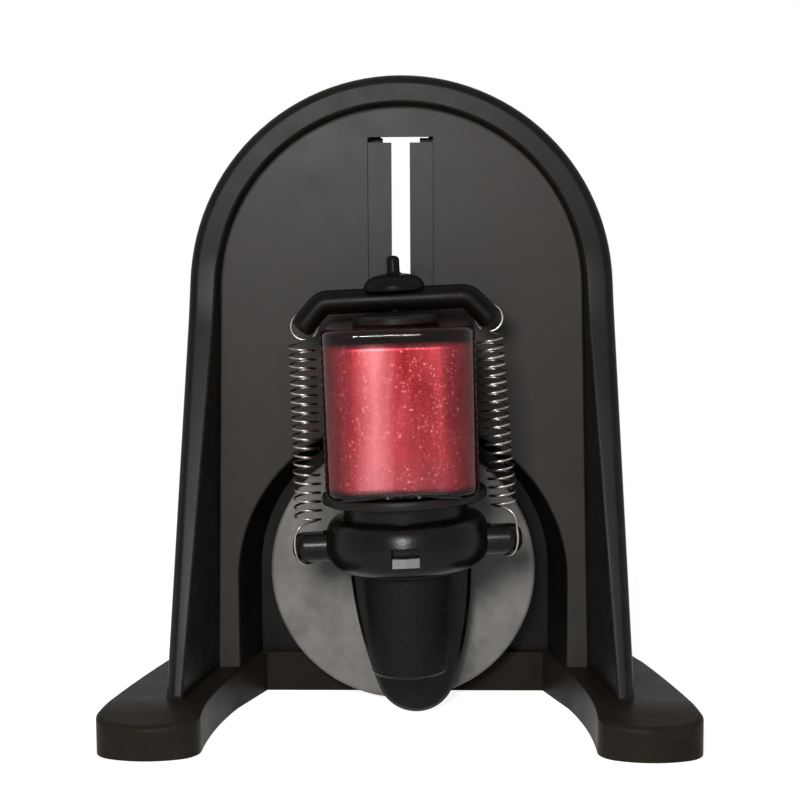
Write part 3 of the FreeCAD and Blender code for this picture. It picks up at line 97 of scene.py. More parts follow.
moulded_grain.links.new(cloud.outputs["Fac"], end.inputs["Cloud"])

# worn edges: a mask of the outer edges, broken up so that it looks handled
worn_edges, start, end = new_group("worn_edges", {"Amount": 0.5, "Scale": 300.0}, ["Mask"])
shape = add(worn_edges, "NewGeometry")
edge = add(worn_edges, "MapRange", From_Min=0.52, From_Max=0.62)
place = add(worn_edges, "TexCoord")
patches = add(worn_edges, "TexNoise", Detail=5.0, Roughness=0.7)
broken = add(worn_edges, "MapRange", From_Min=0.4, From_Max=0.65)
mask = add_math(worn_edges, "MULTIPLY")
strength = add_math(worn_edges, "MULTIPLY")
worn_edges.links.new(shape.outputs["Pointiness"], edge.inputs["Value"])
worn_edges.links.new(place.outputs["Object"], patches.inputs["Vector"])
worn_edges.links.new(start.outputs["Scale"], patches.inputs["Scale"])
worn_edges.links.new(patches.outputs["Fac"], broken.inputs["Value"])
worn_edges.links.new(edge.outputs["Result"], mask.inputs[0])
worn_edges.links.new(broken.outputs["Result"], mask.inputs[1])
worn_edges.links.new(mask.outputs["Value"], strength.inputs[0])
worn_edges.links.new(start.outputs["Amount"], strength.inputs[1])
worn_edges.links.new(strength.outputs["Value"], end.inputs["Mask"])


def moulded(name, dark, light, roughness, specular, grain=(2400.0, 60.0), depth=0.00002,
            wear=0.3, metallic=0.0):
    """A moulded or turned surface: two near colours in slow clouds, grain, and worn edges."""
    made = bpy.data.materials.new(name)
    made.use_nodes = True
    tree = made.node_tree
    shader = tree.nodes["Principled BSDF"]
    shader.inputs["Specular IOR Level"].default_value = specular
    shader.inputs["Metallic"].default_value = metallic
    surface = add(tree, "Group")
    surface.node_tree = moulded_grain
    surface.inputs["Scale"].default_value, surface.inputs["Slow Scale"].default_value = grain
    edges = add(tree, "Group")
    edges.node_tree = worn_edges
    edges.inputs["Amount"].default_value = wear
    tint = add(tree, "ValToRGB")
    first, last = tint.color_ramp.elements
    first.position, first.color = 0.35, (*dark, 1)
    last.position, last.color = 0.65, (*light, 1)
    rubbed = [min(1.0, 1.6 * part + 0.01) for part in light]
    worn = add(tree, "MixRGB", Color2=(*rubbed, 1))
    sheen = add(tree, "MapRange", From_Min=0.3, From_Max=0.7,
                To_Min=roughness[0], To_Max=roughness[1])
    bump = add(tree, "Bump", Strength=1.0, Distance=depth)
    tree.links.new(surface.outputs["Cloud"], tint.inputs["Fac"])
    tree.links.new(tint.outputs["Color"], worn.inputs["Color1"])
    tree.links.new(edges.outputs["Mask"], worn.inputs["Fac"])
    tree.links.new(worn.outputs["Color"], shader.inputs["Base Color"])
    tree.links.new(surface.outputs["Cloud"], sheen.inputs["Value"])
    tree.links.new(sheen.outputs["Result"], shader.inputs["Roughness"])
    tree.links.new(surface.outputs["Height"], bump.inputs["Height"])
    tree.links.new(bump.outputs["Normal"], shader.inputs["Normal"])
    return made


def coat(node, material):
    """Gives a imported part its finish."""
    mesh = parts[node].data
    mesh.materials.clear()
    mesh.materials.append(material)


def pick(piece):
    """Makes a piece the active one, and the only one selected."""
    bpy.ops.object.select_all(action="DESELECT")
    bpy.context.view_layer.objects.active = piece
    piece.select_set(True)


def join_flats(piece):
    """Merges the doubled corners of a piece's mesh and joins its flat areas."""
    pick(piece)
    bpy.ops.object.mode_set(mode="EDIT")
    bpy.ops.mesh.select_all(action="SELECT")
    bpy.ops.mesh.remove_doubles(threshold=1e-6)
    bpy.ops.mesh.dissolve_limited(angle_limit=math.radians(0.4))
    bpy.ops.object.mode_set(mode="OBJECT")


def working_copy(node, name):
    """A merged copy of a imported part's mesh, with its flat areas joined, ready to be shaped."""
    piece = bpy.data.objects.new(name, parts[node].data.copy())
    piece.data.name = name
    bpy.context.scene.collection.objects.link(piece)
    pick(piece)
    bpy.ops.mesh.customdata_custom_splitnormals_clear()
    join_flats(piece)
    return piece


def round_edges(piece, radius, chosen, segments=3, sharp=15.0):
    """Rounds the edges that turn by more than some degrees and pass a test of their middle."""
    pick(piece)
    bpy.ops.object.mode_set(mode="EDIT")
    bpy.ops.mesh.select_mode(type="EDGE")
    bpy.ops.mesh.select_all(action="DESELECT")
    mesh = bmesh.from_edit_mesh(piece.data)
    for line in mesh.edges:
        if len(line.link_faces) == 2 and line.calc_face_angle() > math.radians(sharp):
            middle = (line.verts[0].co + line.verts[1].co) / 2
            line.select_set(chosen(middle))
    bmesh.update_edit_mesh(piece.data)
    bpy.ops.mesh.bevel(offset=radius, segments=segments, affect="EDGES", clamp_overlap=False)
    bpy.ops.object.mode_set(mode="OBJECT")


def finish_piece(piece, material, body, nodes=(), smooth=32.0):
    """Smooths a shaped piece, gives it its finish, and fixes it to its body, if it has one."""
    pick(piece)
    bpy.ops.object.shade_smooth_by_angle(angle=math.radians(smooth))
    weighted = piece.modifiers.new("weighted_normals", "WEIGHTED_NORMAL")
    weighted.keep_sharp = True
    weighted.weight = 90
    bpy.ops.object.modifier_apply(modifier=weighted.name)
    piece.data.materials.clear()
    piece.data.materials.append(material)
    if body:
        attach(piece, body)
    if nodes:
        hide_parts(*nodes)


PANEL_FRONT = -0.0059
BASE_SEAM_HEIGHT = 0.0105
SLOT_SIDE = 0.008
CROWN_FOOT = 0.1275
SPARK_GRAIN = (3200.0, 130.0)

shell_plastic = moulded("shell_plastic", (0.0050, 0.0040, 0.0030), (0.0080, 0.0066, 0.0052),
                        (0.35, 0.42), 0.08, SPARK_GRAIN, depth=0.000006)

# painted light: the main panel's face gets a paler colour added, so that it shows lighter than
# the rim and the shaded recess
tree = shell_plastic.node_tree
moulding_place = add(tree, "TexCoord")
depth_of = add(tree, "SeparateXYZ")
on_panel = add_math(tree, "COMPARE")
on_panel.inputs[1].default_value, on_panel.inputs[2].default_value = PANEL_FRONT, 0.0002
painted_panel_light = add(tree, "MixRGB", Color2=(0.0225, 0.0205, 0.0193, 1))
painted_panel_light.blend_type = "ADD"
shader = tree.nodes["Principled BSDF"]
tree.links.new(moulding_place.outputs["Object"], depth_of.inputs["Vector"])
tree.links.new(depth_of.outputs["Y"], on_panel.inputs[0])
tree.links.new(on_panel.outputs["Value"], painted_panel_light.inputs["Fac"])
tree.links.new(shader.inputs["Base Color"].links[0].from_socket, painted_panel_light.inputs["Color1"])
tree.links.new(painted_panel_light.outputs["Color"], shader.inputs["Base Color"])

shell = working_copy("front_shell", "arched_shell")
round_edges(shell, 0.0007, lambda spot: spot.y < PANEL_FRONT + 0.0002
            and spot.z > BASE_SEAM_HEIGHT
            and (abs(spot.x) > SLOT_SIDE or spot.z > CROWN_FOOT), segments=3, sharp=12.0)
finish_piece(shell, shell_plastic, "stand", ["front_shell"])

# ---- base slab with its two feet --------------------------------------------------------
# The base is a second moulding, screwed under the shell from below. Its two feet reach
# forward and outward so that the shaking bottle can't tip the machine.

base_plastic = moulded("base_plastic", (0.0125, 0.0094, 0.0068), (0.0175, 0.0134, 0.0100),
                       (0.40, 0.48), 0.035, SPARK_GRAIN, depth=0.000006)
BASE_TOP = 0.0092
ARCH_FRONT = -0.0333
DOME_RADIUS = 0.060
DOME_LEAD = 0.00143
FALL_AT_ARCH = 0.000017
FOOT_ROUND = 0.0011
SHELL_BACK_SIDE = 0.045


def fall(depth):
    """How far the top of a foot has fallen at a place in front of the arch."""
    ahead = max(ARCH_FRONT - depth, 0.0) + DOME_LEAD
    return DOME_RADIUS - math.sqrt(DOME_RADIUS ** 2 - ahead ** 2) - FALL_AT_ARCH


# the feet are made flat, rounded, cut across and then lowered again to their domed top
base = working_copy("base_frame", "base_slab")
for spot in base.data.vertices:
    if spot.co.y < ARCH_FRONT + 0.0001 and spot.co.z > BASE_TOP - fall(spot.co.y) - 0.00005:
        spot.co.z = BASE_TOP
join_flats(base)
round_edges(base, FOOT_ROUND, lambda spot: spot.z > BASE_TOP - 1e-5
            and not (abs(spot.x) < SHELL_BACK_SIDE and spot.y > 0), segments=4, sharp=40.0)
bpy.ops.object.mode_set(mode="EDIT")
for step in range(10):
    bpy.ops.mesh.select_all(action="SELECT")
    bpy.ops.mesh.bisect(plane_co=(0, ARCH_FRONT - 0.0008 * step, 0), plane_no=(0, 1, 0))
bpy.ops.object.mode_set(mode="OBJECT")
for spot in base.data.vertices:
    if spot.co.y < ARCH_FRONT and spot.co.z > BASE_TOP - FOOT_ROUND - 0.0001:
        spot.co.z -= fall(spot.co.y)
finish_piece(base, base_plastic, "stand", ["base_frame"])

rubber = moulded("rubber", (0.0040, 0.0030, 0.0022), (0.0075, 0.0058, 0.0044),
                 (0.40, 0.52), 0.12, (1500.0, 160.0))
coat("rubber_feet", rubber)

# ---- rear cover, with its button, inlet and screws --------------------------------------
# A shallow moulding closes the back and swells into the bay for the motor. Four cross-head
# screws hold it, and the push button and the round power inlet look out through it.


def settle(name):
    """Names the primitive just added, and fixes its place in its mesh."""
    piece = bpy.context.active_object
    piece.name = piece.data.name = name
    bpy.ops.object.transform_apply(location=True, rotation=True, scale=True)
    return piece


COVER_REAR = 0.0330
cover = working_copy("rear_cover", "back_cover")
round_edges(cover, 0.0006, lambda spot: spot.y > COVER_REAR, segments=3, sharp=20.0)
finish_piece(cover, shell_plastic, "stand", ["rear_cover"])

screw_steel = moulded("screw_steel", (0.055, 0.052, 0.050), (0.085, 0.080, 0.076),
                      (0.28, 0.40), 0.5, (1800.0, 200.0), depth=0.000006, wear=0.8, metallic=1.0)
for node in ("cover_screws", "rail_screws", "base_screws", "motor_screws", "disc_screw",
             "jack_nut"):
    coat(node, screw_steel)

button_plastic = moulded("button_plastic", (0.012, 0.012, 0.013), (0.017, 0.017, 0.018),
                         (0.22, 0.30), 0.4, (1800.0, 90.0), depth=0.000006, wear=0.5)
for node in ("power_button", "power_switch", "dc_jack"):
    coat(node, button_plastic)

bpy.ops.object.select_all(action="DESELECT")
bpy.ops.mesh.primitive_cylinder_add(vertices=32, radius=0.00065, depth=0.0087,
                                    location=(-0.0310, 0.02885, 0.0220),
                                    rotation=(math.radians(90), 0, 0))
jack_pin = settle("jack_centre_pin")
JACK_PIN_TIP = 0.030
round_edges(jack_pin, 0.0003, lambda spot: spot.y > JACK_PIN_TIP, segments=3, sharp=60.0)
finish_piece(jack_pin, screw_steel, "stand")

# ---- guide rails ------------------------------------------------------------------------
# Two strips of black acetal leave the upright slot between them. They sit in an opening of
# the main panel and are screwed to bosses behind it.

rail_plastic = moulded("rail_plastic", (0.0120, 0.0106, 0.0092), (0.0170, 0.0152, 0.0134),
                       (0.36, 0.42), 0.11, SPARK_GRAIN, depth=0.000004)
coat("left_guide_rail", rail_plastic)
coat("right_guide_rail", rail_plastic)

# ---- motor ------------------------------------------------------------------------------
# A small geared motor in a zinc-plated can stands behind the recess on a rubber pad. Its
# shaft runs in a bronze bearing.

can_steel = moulded("can_steel", (0.36, 0.36, 0.35), (0.48, 0.47, 0.46),
                    (0.25, 0.38), 0.5, (900.0, 120.0), depth=0.000005, wear=0.5, metallic=1.0)
bronze = moulded("bronze", (0.32, 0.19, 0.08), (0.45, 0.28, 0.12),
                 (0.30, 0.42), 0.5, (2200.0, 250.0), depth=0.000006, wear=0.5, metallic=1.0)
coat("motor", can_steel)
coat("motor_shaft", can_steel)
coat("motor_pad", rubber)
coat("motor_bearing", bronze)

# ---- crank disc -------------------------------------------------------------------------
# The disc is moulded in light grey plastic, matt and slightly mottled. A screw clamps its
# hub on the motor's shaft, and a steel pin near its edge drives the carrier round.

disc_plastic = moulded("disc_plastic", (0.120, 0.113, 0.105), (0.180, 0.172, 0.161),
                       (0.50, 0.60), 0.2, (2600.0, 170.0), depth=0.000008, wear=0.35)
SHAFT_HEIGHT = 0.0304
DISC_EDGE = 0.0285
disc = working_copy("crank_disc", "grey_disc")
round_edges(disc, 0.00025,
            lambda spot: math.hypot(spot.x, spot.z - SHAFT_HEIGHT) > DISC_EDGE, segments=2)
finish_piece(disc, disc_plastic, "crank", ["crank_disc"])
coat("crank_pin", can_steel)

# ---- guide shoe and pivot ---------------------------------------------------------------
# A natural acetal shoe slides behind the two strips. It carries a steel pivot pin, and a
# wide screw on the pin's end keeps the carrier on. Bronze bushes line the carrier's holes.

acetal = moulded("acetal", (0.42, 0.40, 0.36), (0.52, 0.50, 0.46),
                 (0.35, 0.45), 0.4, (1500.0, 90.0), depth=0.00001)
coat("guide_shoe", acetal)
coat("pivot_pin", can_steel)
coat("pivot_retainer", screw_steel)
coat("pivot_bush", bronze)
coat("crank_bush", bronze)

# ---- bottle carrier ---------------------------------------------------------------------
# One stiff moulding in black glass-filled nylon: the long plate, the collar that takes the
# cap, the neck under the rubber seat, and the two ears on which the springs hook.

carrier_plastic = moulded("carrier_plastic", (0.0020, 0.0013, 0.0008), (0.0040, 0.0029, 0.0018),
                          (0.24, 0.32), 0.12, (2600.0, 160.0), depth=0.000010, wear=0.5)
CARRIER_LEAN = math.radians(-2.522)
PIVOT = Vector((0, PANEL_FRONT, 0.077043))
PLATE_THICKNESS = 0.0062
BOTTLE_DEPTH = -0.023


def hang(piece):
    """Leans a piece with the carrier about its pivot, and fixes that place in its mesh."""
    pick(piece)
    piece.rotation_euler = (0, CARRIER_LEAN, 0)
    piece.location = PIVOT
    bpy.ops.object.transform_apply(location=True, rotation=True, scale=True)
    return piece


def turned(name, outline, hollow=False, steps=96):
    """A turned piece on the bottle's axis, drawn out along (radius, height) steps in mm."""
    bpy.ops.object.select_all(action="DESELECT")
    radius, height = outline[0]
    bpy.ops.mesh.primitive_circle_add(vertices=steps, radius=radius / 1000,
                                      fill_type="NOTHING" if hollow else "NGON",
                                      location=(0, BOTTLE_DEPTH, height / 1000))
    piece = bpy.context.active_object
    piece.name = piece.data.name = name
    bpy.ops.object.mode_set(mode="EDIT")
    bpy.ops.mesh.select_all(action="SELECT")
    last_radius, last_height = radius, height
    for radius, height in outline[1:]:
        bpy.ops.mesh.extrude_region_move(
            TRANSFORM_OT_translate={"value": (0, 0, (height - last_height) / 1000)})
        scale = radius / last_radius
        bpy.ops.transform.resize(value=(scale, scale, 1),
                                 center_override=(0, BOTTLE_DEPTH, height / 1000))
        last_radius, last_height = radius, height
    bpy.ops.mesh.select_all(action="SELECT")
    if hollow:
        bpy.ops.mesh.remove_doubles(threshold=1e-6)
    bpy.ops.mesh.normals_make_consistent(inside=False)
    bpy.ops.object.mode_set(mode="OBJECT")
    bpy.ops.object.transform_apply(location=True, rotation=True, scale=True)
    return piece


def block(name, low, high):
    """A square block between two corners on the carrier, in mm; depths count forward."""
    bpy.ops.object.select_all(action="DESELECT")
    middle = [(a + b) / 2000 for a, b in zip(low, high)]
    size = [(b - a) / 1000 for a, b in zip(low, high)]
    bpy.ops.mesh.primitive_cube_add(size=1, location=(middle[0], -middle[1], middle[2]),
                                    scale=size)
    return settle(name)


def combine(piece, other, operation):
    """Joins another piece to this one, or cuts it away, and removes the other."""
    change = piece.modifiers.new("change", "BOOLEAN")
    change.object = other
    change.operation = operation
    change.solver = "EXACT"
    pick(piece)
    bpy.ops.object.modifier_apply(modifier=change.name)
    bpy.data.objects.remove(other)


plate = working_copy("bottle_carrier", "carrier_plate")
bpy.ops.object.mode_set(mode="EDIT")
bpy.ops.mesh.select_all(action="SELECT")
bpy.ops.mesh.bisect(plane_co=(0, PANEL_FRONT - PLATE_THICKNESS, 0), plane_no=(0, -1, 0),
                    clear_outer=True, use_fill=True)
bpy.ops.object.mode_set(mode="OBJECT")
finish_piece(plate, carrier_plastic, "carrier")

collar = turned("carrier_collar", [
    (13.0, -26.5), (13.0, -29.55), (14.2, -29.65), (15.1, -29.95), (15.8, -30.5),
    (16.35, -31.4), (16.7, -32.6), (16.95, -34.0), (17.1, -35.5), (16.8, -37.2),
    (16.15, -38.7), (15.3, -39.7), (14.2, -40.3), (12.3, -40.5), (12.0, -40.6),
    (11.9, -41.1), (11.5, -41.3)])
combine(collar, block("bridge", (-12.4, 5.6, -40.4), (12.4, 14.0, -31.2)), "UNION")

# the two ears are one round bar through the collar, flat on top where the springs pass
EAR_MIDDLE = 20.7
bpy.ops.object.select_all(action="DESELECT")
bpy.ops.mesh.primitive_cylinder_add(vertices=64, radius=0.0033, depth=0.0474,
                                    location=(0, -0.0238, -0.0355),
                                    rotation=(0, math.radians(90), 0))
ears = settle("ears")
round_edges(ears, 0.0027, lambda spot: True, segments=8, sharp=60.0)
combine(collar, ears, "UNION")
for side in (-1, 1):
    flat = block("flat", (side * EAR_MIDDLE - 3.5, 20.0, -32.7),
                 (side * EAR_MIDDLE + 3.5, 28.0, -32.0))
    combine(collar, flat, "DIFFERENCE")

# the bore for the cap, and in front a notch with a sloped land under it
LAND_SLOPE = 0.00063
COLLAR_SHIFT = 0.00015
combine(collar, turned("bore", [(10.9, -42.0), (10.9, -26.0)]), "DIFFERENCE")
combine(collar, block("slot", (-2.8, 36.4, -35.6), (2.8, 42.0, -33.9)), "DIFFERENCE")
land = block("land", (-2.75, 38.4, -38.0), (2.75, 42.0, -35.7))
for spot in land.data.vertices:
    if spot.co.y > -0.039 and spot.co.z < -0.037:
        spot.co.y -= LAND_SLOPE
combine(collar, land, "DIFFERENCE")
collar.data.transform(Matrix.Translation((COLLAR_SHIFT, 0, 0)))
finish_piece(hang(collar), carrier_plastic, "carrier", ["bottle_carrier"], smooth=35.0)

# the land is left polished by the mould's loose insert
LAND_FRONT = -0.0382
LAND_REACH = 0.006
LEAST_LAND_AREA = 5e-6
gloss_plastic = moulded("gloss_plastic", (0.006, 0.005, 0.004), (0.010, 0.009, 0.008),
                        (0.20, 0.26), 0.07, (1200.0, 300.0), depth=0.000003, wear=0.2)
collar.data.materials.append(gloss_plastic)
for face in collar.data.polygons:
    faces_front = face.normal.y < -0.93 and face.center.y < LAND_FRONT
    if faces_front and abs(face.center.x) < LAND_REACH and face.area > LEAST_LAND_AREA:
        face.material_index = 1

# ---- seat ring --------------------------------------------------------------------------
# A soft rubber ring lies on the neck, and the bottle's shoulder rests on it.

seat = turned("rubber_seat", [
    (10.9, -26.55), (16.6, -26.55), (16.95, -26.3), (17.0, -25.8), (17.0, -25.1),
    (16.8, -24.7), (16.3, -24.6), (14.6, -24.9), (11.4, -24.9), (10.9, -25.2),
    (10.9, -26.55)], hollow=True)
finish_piece(hang(seat), rubber, "carrier", ["seat_ring"])

# ---- bottle -----------------------------------------------------------------------------
# A small squarish bottle of thick clear glass stands upside down on the seat. It is filled
# with a pearly red polish, and its tapered black cap goes down through the collar.

# the bottle stands a little straighter than the carrier, in the play of its seat
BOTTLE_LEAN = (Matrix.Translation((0, BOTTLE_DEPTH, -0.020))
               @ Matrix.Rotation(math.radians(0.9), 4, "Y")
               @ Matrix.Translation((0, -BOTTLE_DEPTH, 0.020)))

bottle_glass = bpy.data.materials.new("bottle_glass")
bottle_glass.use_nodes = True
tree = bottle_glass.node_tree
shader = tree.nodes["Principled BSDF"]
shader.inputs["Base Color"].default_value = (0.80, 0.76, 0.74, 1)
shader.inputs["Transmission Weight"].default_value = 1.0
shader.inputs["IOR"].default_value = 1.33
shader.inputs["Specular Tint"].default_value = (0.6, 0.6, 0.6, 1)
smears = add(tree, "TexNoise", Scale=120.0, Detail=4.0)
smear_place = add(tree, "TexCoord")
smear_rough = add(tree, "MapRange", From_Min=0.45, From_Max=0.75, To_Min=0.0, To_Max=0.06)
waves = add(tree, "TexNoise", Scale=45.0, Detail=1.0)
wave_bump = add(tree, "Bump", Strength=0.1, Distance=0.0002)
pass_light = add(tree, "LightPath")
clear = add(tree, "BsdfTransparent")
choose = add(tree, "MixShader")
tree.links.new(smear_place.outputs["Object"], smears.inputs["Vector"])
tree.links.new(smear_place.outputs["Object"], waves.inputs["Vector"])
tree.links.new(smears.outputs["Fac"], smear_rough.inputs["Value"])
tree.links.new(smear_rough.outputs["Result"], shader.inputs["Roughness"])
tree.links.new(waves.outputs["Fac"], wave_bump.inputs["Height"])
tree.links.new(wave_bump.outputs["Normal"], shader.inputs["Normal"])
tree.links.new(pass_light.outputs["Is Shadow Ray"], choose.inputs["Fac"])
tree.links.new(shader.outputs["BSDF"], choose.inputs[1])
tree.links.new(clear.outputs["BSDF"], choose.inputs[2])
tree.links.new(choose.outputs["Shader"], tree.nodes["Material Output"].inputs["Surface"])


def squarish_block(name, half, corner, low, high, soft):
    """A square block with round corners on the bottle's axis, its ends softened, in mm."""
    forward = -1000 * BOTTLE_DEPTH
    piece = block(name, (-half, forward - half, low), (half, forward + half, high))
    middle, reach = (low + high) / 2000, (high - low) / 2000
    round_edges(piece, corner / 1000, lambda spot: abs(spot.z - middle) < reach / 2,
                segments=12, sharp=60.0)
    round_edges(piece, soft / 1000, lambda spot: abs(spot.z - middle) > reach - 1e-5,
                segments=5, sharp=60.0)
    return piece


glass = squarish_block("clear_bottle", 15.6, 7.5, -24.85, 9.65, 1.5)
combine(glass, turned("bottle_neck", [(6.3, -37.1), (6.3, -24.0)]), "UNION")
combine(glass, squarish_block("cavity", 14.9, 6.8, -23.6, 6.9, 1.6), "DIFFERENCE")
combine(glass, turned("neck_bore", [(4.3, -37.6), (4.3, -22.0)]), "DIFFERENCE")
glass.data.transform(BOTTLE_LEAN)
finish_piece(hang(glass), bottle_glass, "carrier", ["bottle_glass"], smooth=40.0)

# the polish: a swirled red with a painted highlight, a paler upright streak a little left of
# the middle; painted glints on single flakes; and painted shade where the surface turns away
HIGHLIGHT_STREAK_MIDDLE = -0.0042
HIGHLIGHT_STREAK_HALF_WIDTH = 0.0040
pearl = bpy.data.materials.new("pearl_polish")
pearl.use_nodes = True
tree = pearl.node_tree
shader = tree.nodes["Principled BSDF"]
shader.inputs["Metallic"].default_value = 0.6
shader.inputs["Specular Tint"].default_value = (0.5, 0.08, 0.10, 1)
shader.inputs["Specular IOR Level"].default_value = 0.08
flake_place = add(tree, "TexCoord")
flakes = add(tree, "TexVoronoi", Scale=3600.0)
drawn_down = add(tree, "Mapping")
drawn_down.inputs["Scale"].default_value = (1.0, 1.0, 0.22)
swirl = add(tree, "TexNoise", Scale=95.0, Detail=5.0, Roughness=0.6, Distortion=0.8)
body_tint = add(tree, "ValToRGB")
first, last = body_tint.color_ramp.elements
first.position, first.color = 0.36, (0.085, 0.0036, 0.0054, 1)
last.position, last.color = 0.66, (0.205, 0.0230, 0.0310, 1)
# painted glints: the brightest flake cells are coloured pale pink
painted_glint_mask = add(tree, "MapRange", From_Min=0.94, From_Max=1.0, To_Max=0.7)
# painted highlight: a paler upright band a little left of the bottle's middle, broken up by the
# swirl, mixed into the colour
across = add(tree, "SeparateXYZ")
from_highlight_band = add_math(tree, "ADD")
from_highlight_band.inputs[1].default_value = -HIGHLIGHT_STREAK_MIDDLE
off_highlight_band = add_math(tree, "ABSOLUTE")
highlight_band = add(tree, "MapRange", From_Max=HIGHLIGHT_STREAK_HALF_WIDTH, To_Min=1.0, To_Max=0.0)
broken = add_math(tree, "MULTIPLY")
painted_highlight = add(tree, "MixRGB", Color2=(0.46, 0.15, 0.17, 1))
# painted shade: the colour goes near black where the surface is seen side-on
turn_away = add(tree, "LayerWeight", Blend=0.5)
edge_shade_amount = add(tree, "MapRange", From_Min=0.04, From_Max=0.5, To_Min=0.0, To_Max=0.95)
painted_edge_shade = add(tree, "MixRGB", Color2=(0.012, 0.0010, 0.0012, 1))
painted_glints = add(tree, "MixRGB", Color2=(0.46, 0.16, 0.17, 1))
flake_rough = add(tree, "MapRange", To_Min=0.37, To_Max=0.38)
split = add(tree, "SeparateColor")
facets = add(tree, "Bump", Strength=0.25, Distance=0.0004)
tree.links.new(flake_place.outputs["Object"], flakes.inputs["Vector"])
tree.links.new(flake_place.outputs["Object"], drawn_down.inputs["Vector"])
tree.links.new(drawn_down.outputs["Vector"], swirl.inputs["Vector"])
tree.links.new(swirl.outputs["Fac"], body_tint.inputs["Fac"])
tree.links.new(flakes.outputs["Color"], split.inputs["Color"])
tree.links.new(split.outputs["Red"], painted_glint_mask.inputs["Value"])
tree.links.new(flake_place.outputs["Object"], across.inputs["Vector"])
tree.links.new(across.outputs["X"], from_highlight_band.inputs[0])
tree.links.new(from_highlight_band.outputs["Value"], off_highlight_band.inputs[0])
tree.links.new(off_highlight_band.outputs["Value"], highlight_band.inputs["Value"])
tree.links.new(highlight_band.outputs["Result"], broken.inputs[0])
tree.links.new(swirl.outputs["Fac"], broken.inputs[1])
tree.links.new(broken.outputs["Value"], painted_highlight.inputs["Fac"])
tree.links.new(body_tint.outputs["Color"], painted_highlight.inputs["Color1"])
tree.links.new(painted_highlight.outputs["Color"], painted_glints.inputs["Color1"])
tree.links.new(painted_glint_mask.outputs["Result"], painted_glints.inputs["Fac"])
tree.links.new(turn_away.outputs["Facing"], edge_shade_amount.inputs["Value"])
tree.links.new(edge_shade_amount.outputs["Result"], painted_edge_shade.inputs["Fac"])
tree.links.new(painted_glints.outputs["Color"], painted_edge_shade.inputs["Color1"])
tree.links.new(painted_edge_shade.outputs["Color"], shader.inputs["Base Color"])
tree.links.new(split.outputs["Green"], flake_rough.inputs["Value"])
tree.links.new(flake_rough.outputs["Result"], shader.inputs["Roughness"])
tree.links.new(swirl.outputs["Fac"], facets.inputs["Height"])
tree.links.new(facets.outputs["Normal"], shader.inputs["Normal"])

polish = squarish_block("pearl_fill", 14.95, 6.85, -23.65, 6.95, 1.6)
polish.data.transform(BOTTLE_LEAN)
finish_piece(hang(polish), pearl, "carrier", ["bottle_polish"], smooth=40.0)

cap_plastic = moulded("cap_plastic", (0.0024, 0.0017, 0.0010), (0.0046, 0.0034, 0.0023),
                      (0.42, 0.55), 0.09, (2300.0, 160.0), depth=0.00014, wear=0.4)
cap = turned("tapered_cap", [
    (6.9, -62.9), (7.4, -62.75), (7.85, -62.2), (9.4, -41.5), (9.9, -25.9), (9.8, -25.3),
    (9.4, -25.15), (6.8, -25.15), (6.5, -25.5), (6.5, -38.6)])
cap.data.transform(BOTTLE_LEAN)
finish_piece(hang(cap), cap_plastic, "carrier", ["bottle_cap"])

bristle = moulded("bristle", (0.010, 0.009, 0.009), (0.020, 0.018, 0.018), (0.45, 0.55), 0.4)
coat("brush", bristle)

# ---- spring clamp -----------------------------------------------------------------------
# A bowed steel bar in black lacquer presses a rubber foot on the bottle's base. A domed
# retainer and a round pin hold foot and bar together, and a short peg behind each end of
# the bar takes the loop of a spring.

lacquer = moulded("lacquer", (0.0020, 0.0013, 0.0008), (0.0036, 0.0026, 0.0018),
                  (0.34, 0.42), 0.06, (1400.0, 160.0), depth=0.000015, wear=0.6)
press = turned("press_pad", [
    (1.35, 9.82), (8.7, 9.82), (9.0, 10.1), (9.0, 11.2), (8.5, 11.7), (6.0, 12.0),
    (2.6, 12.3), (1.35, 12.3), (1.35, 9.82)], hollow=True)
finish_piece(hang(press), rubber, "clamp", ["pressure_foot"])


def drawn_wire(name, route, radius, segments, swell=None):
    """A round wire along a line of places, closed at both ends, as a mesh."""
    line = bpy.data.curves.new(name, "CURVE")
    line.dimensions = "3D"
    line.bevel_depth = radius
    line.bevel_resolution = segments
    line.use_fill_caps = True
    spline = line.splines.new("POLY")
    spline.points.add(len(route) - 1)
    for at, (point, place) in enumerate(zip(spline.points, route)):
        point.co = (*place, 1)
        if swell:
            point.radius = swell[at]
    made = bpy.data.objects.new(name, line)
    bpy.context.scene.collection.objects.link(made)
    pick(made)
    bpy.ops.object.convert(target="MESH")
    return bpy.context.active_object


# the right half of the bar's line, and how full the wire is along it, mirrored to the left
spine = [(0.0, 14.7), (7.0, 14.7), (13.6, 14.7), (14.3, 14.62), (14.95, 14.4), (15.5, 14.0),
         (16.0, 13.5), (17.6, 11.75), (18.9, 10.33), (19.3, 9.89), (19.55, 9.62),
         (19.72, 9.43), (19.8, 9.35)]
swell = [1.0] * 9 + [0.97, 0.85, 0.6, 0.25]
bar_line = [(-x, z) for x, z in spine[:0:-1]] + spine
route = [(x / 1000, BOTTLE_DEPTH, z / 1000) for x, z in bar_line]
bar = drawn_wire("bowed_bar", route, 0.0025, 10, swell[:0:-1] + swell)
finish_piece(hang(bar), lacquer, "clamp", ["clamp_bar"], smooth=60.0)

PEG_MIDDLE = 18.0
for side, name in ((-1, "spring_peg_left"), (1, "spring_peg_right")):
    peg = block(name, (side * PEG_MIDDLE - 0.75, 18.9, 10.55),
                (side * PEG_MIDDLE + 0.75, 23.0, 12.05))
    round_edges(peg, 0.0006, lambda spot: True, segments=3, sharp=60.0)
    finish_piece(hang(peg), lacquer, "clamp")

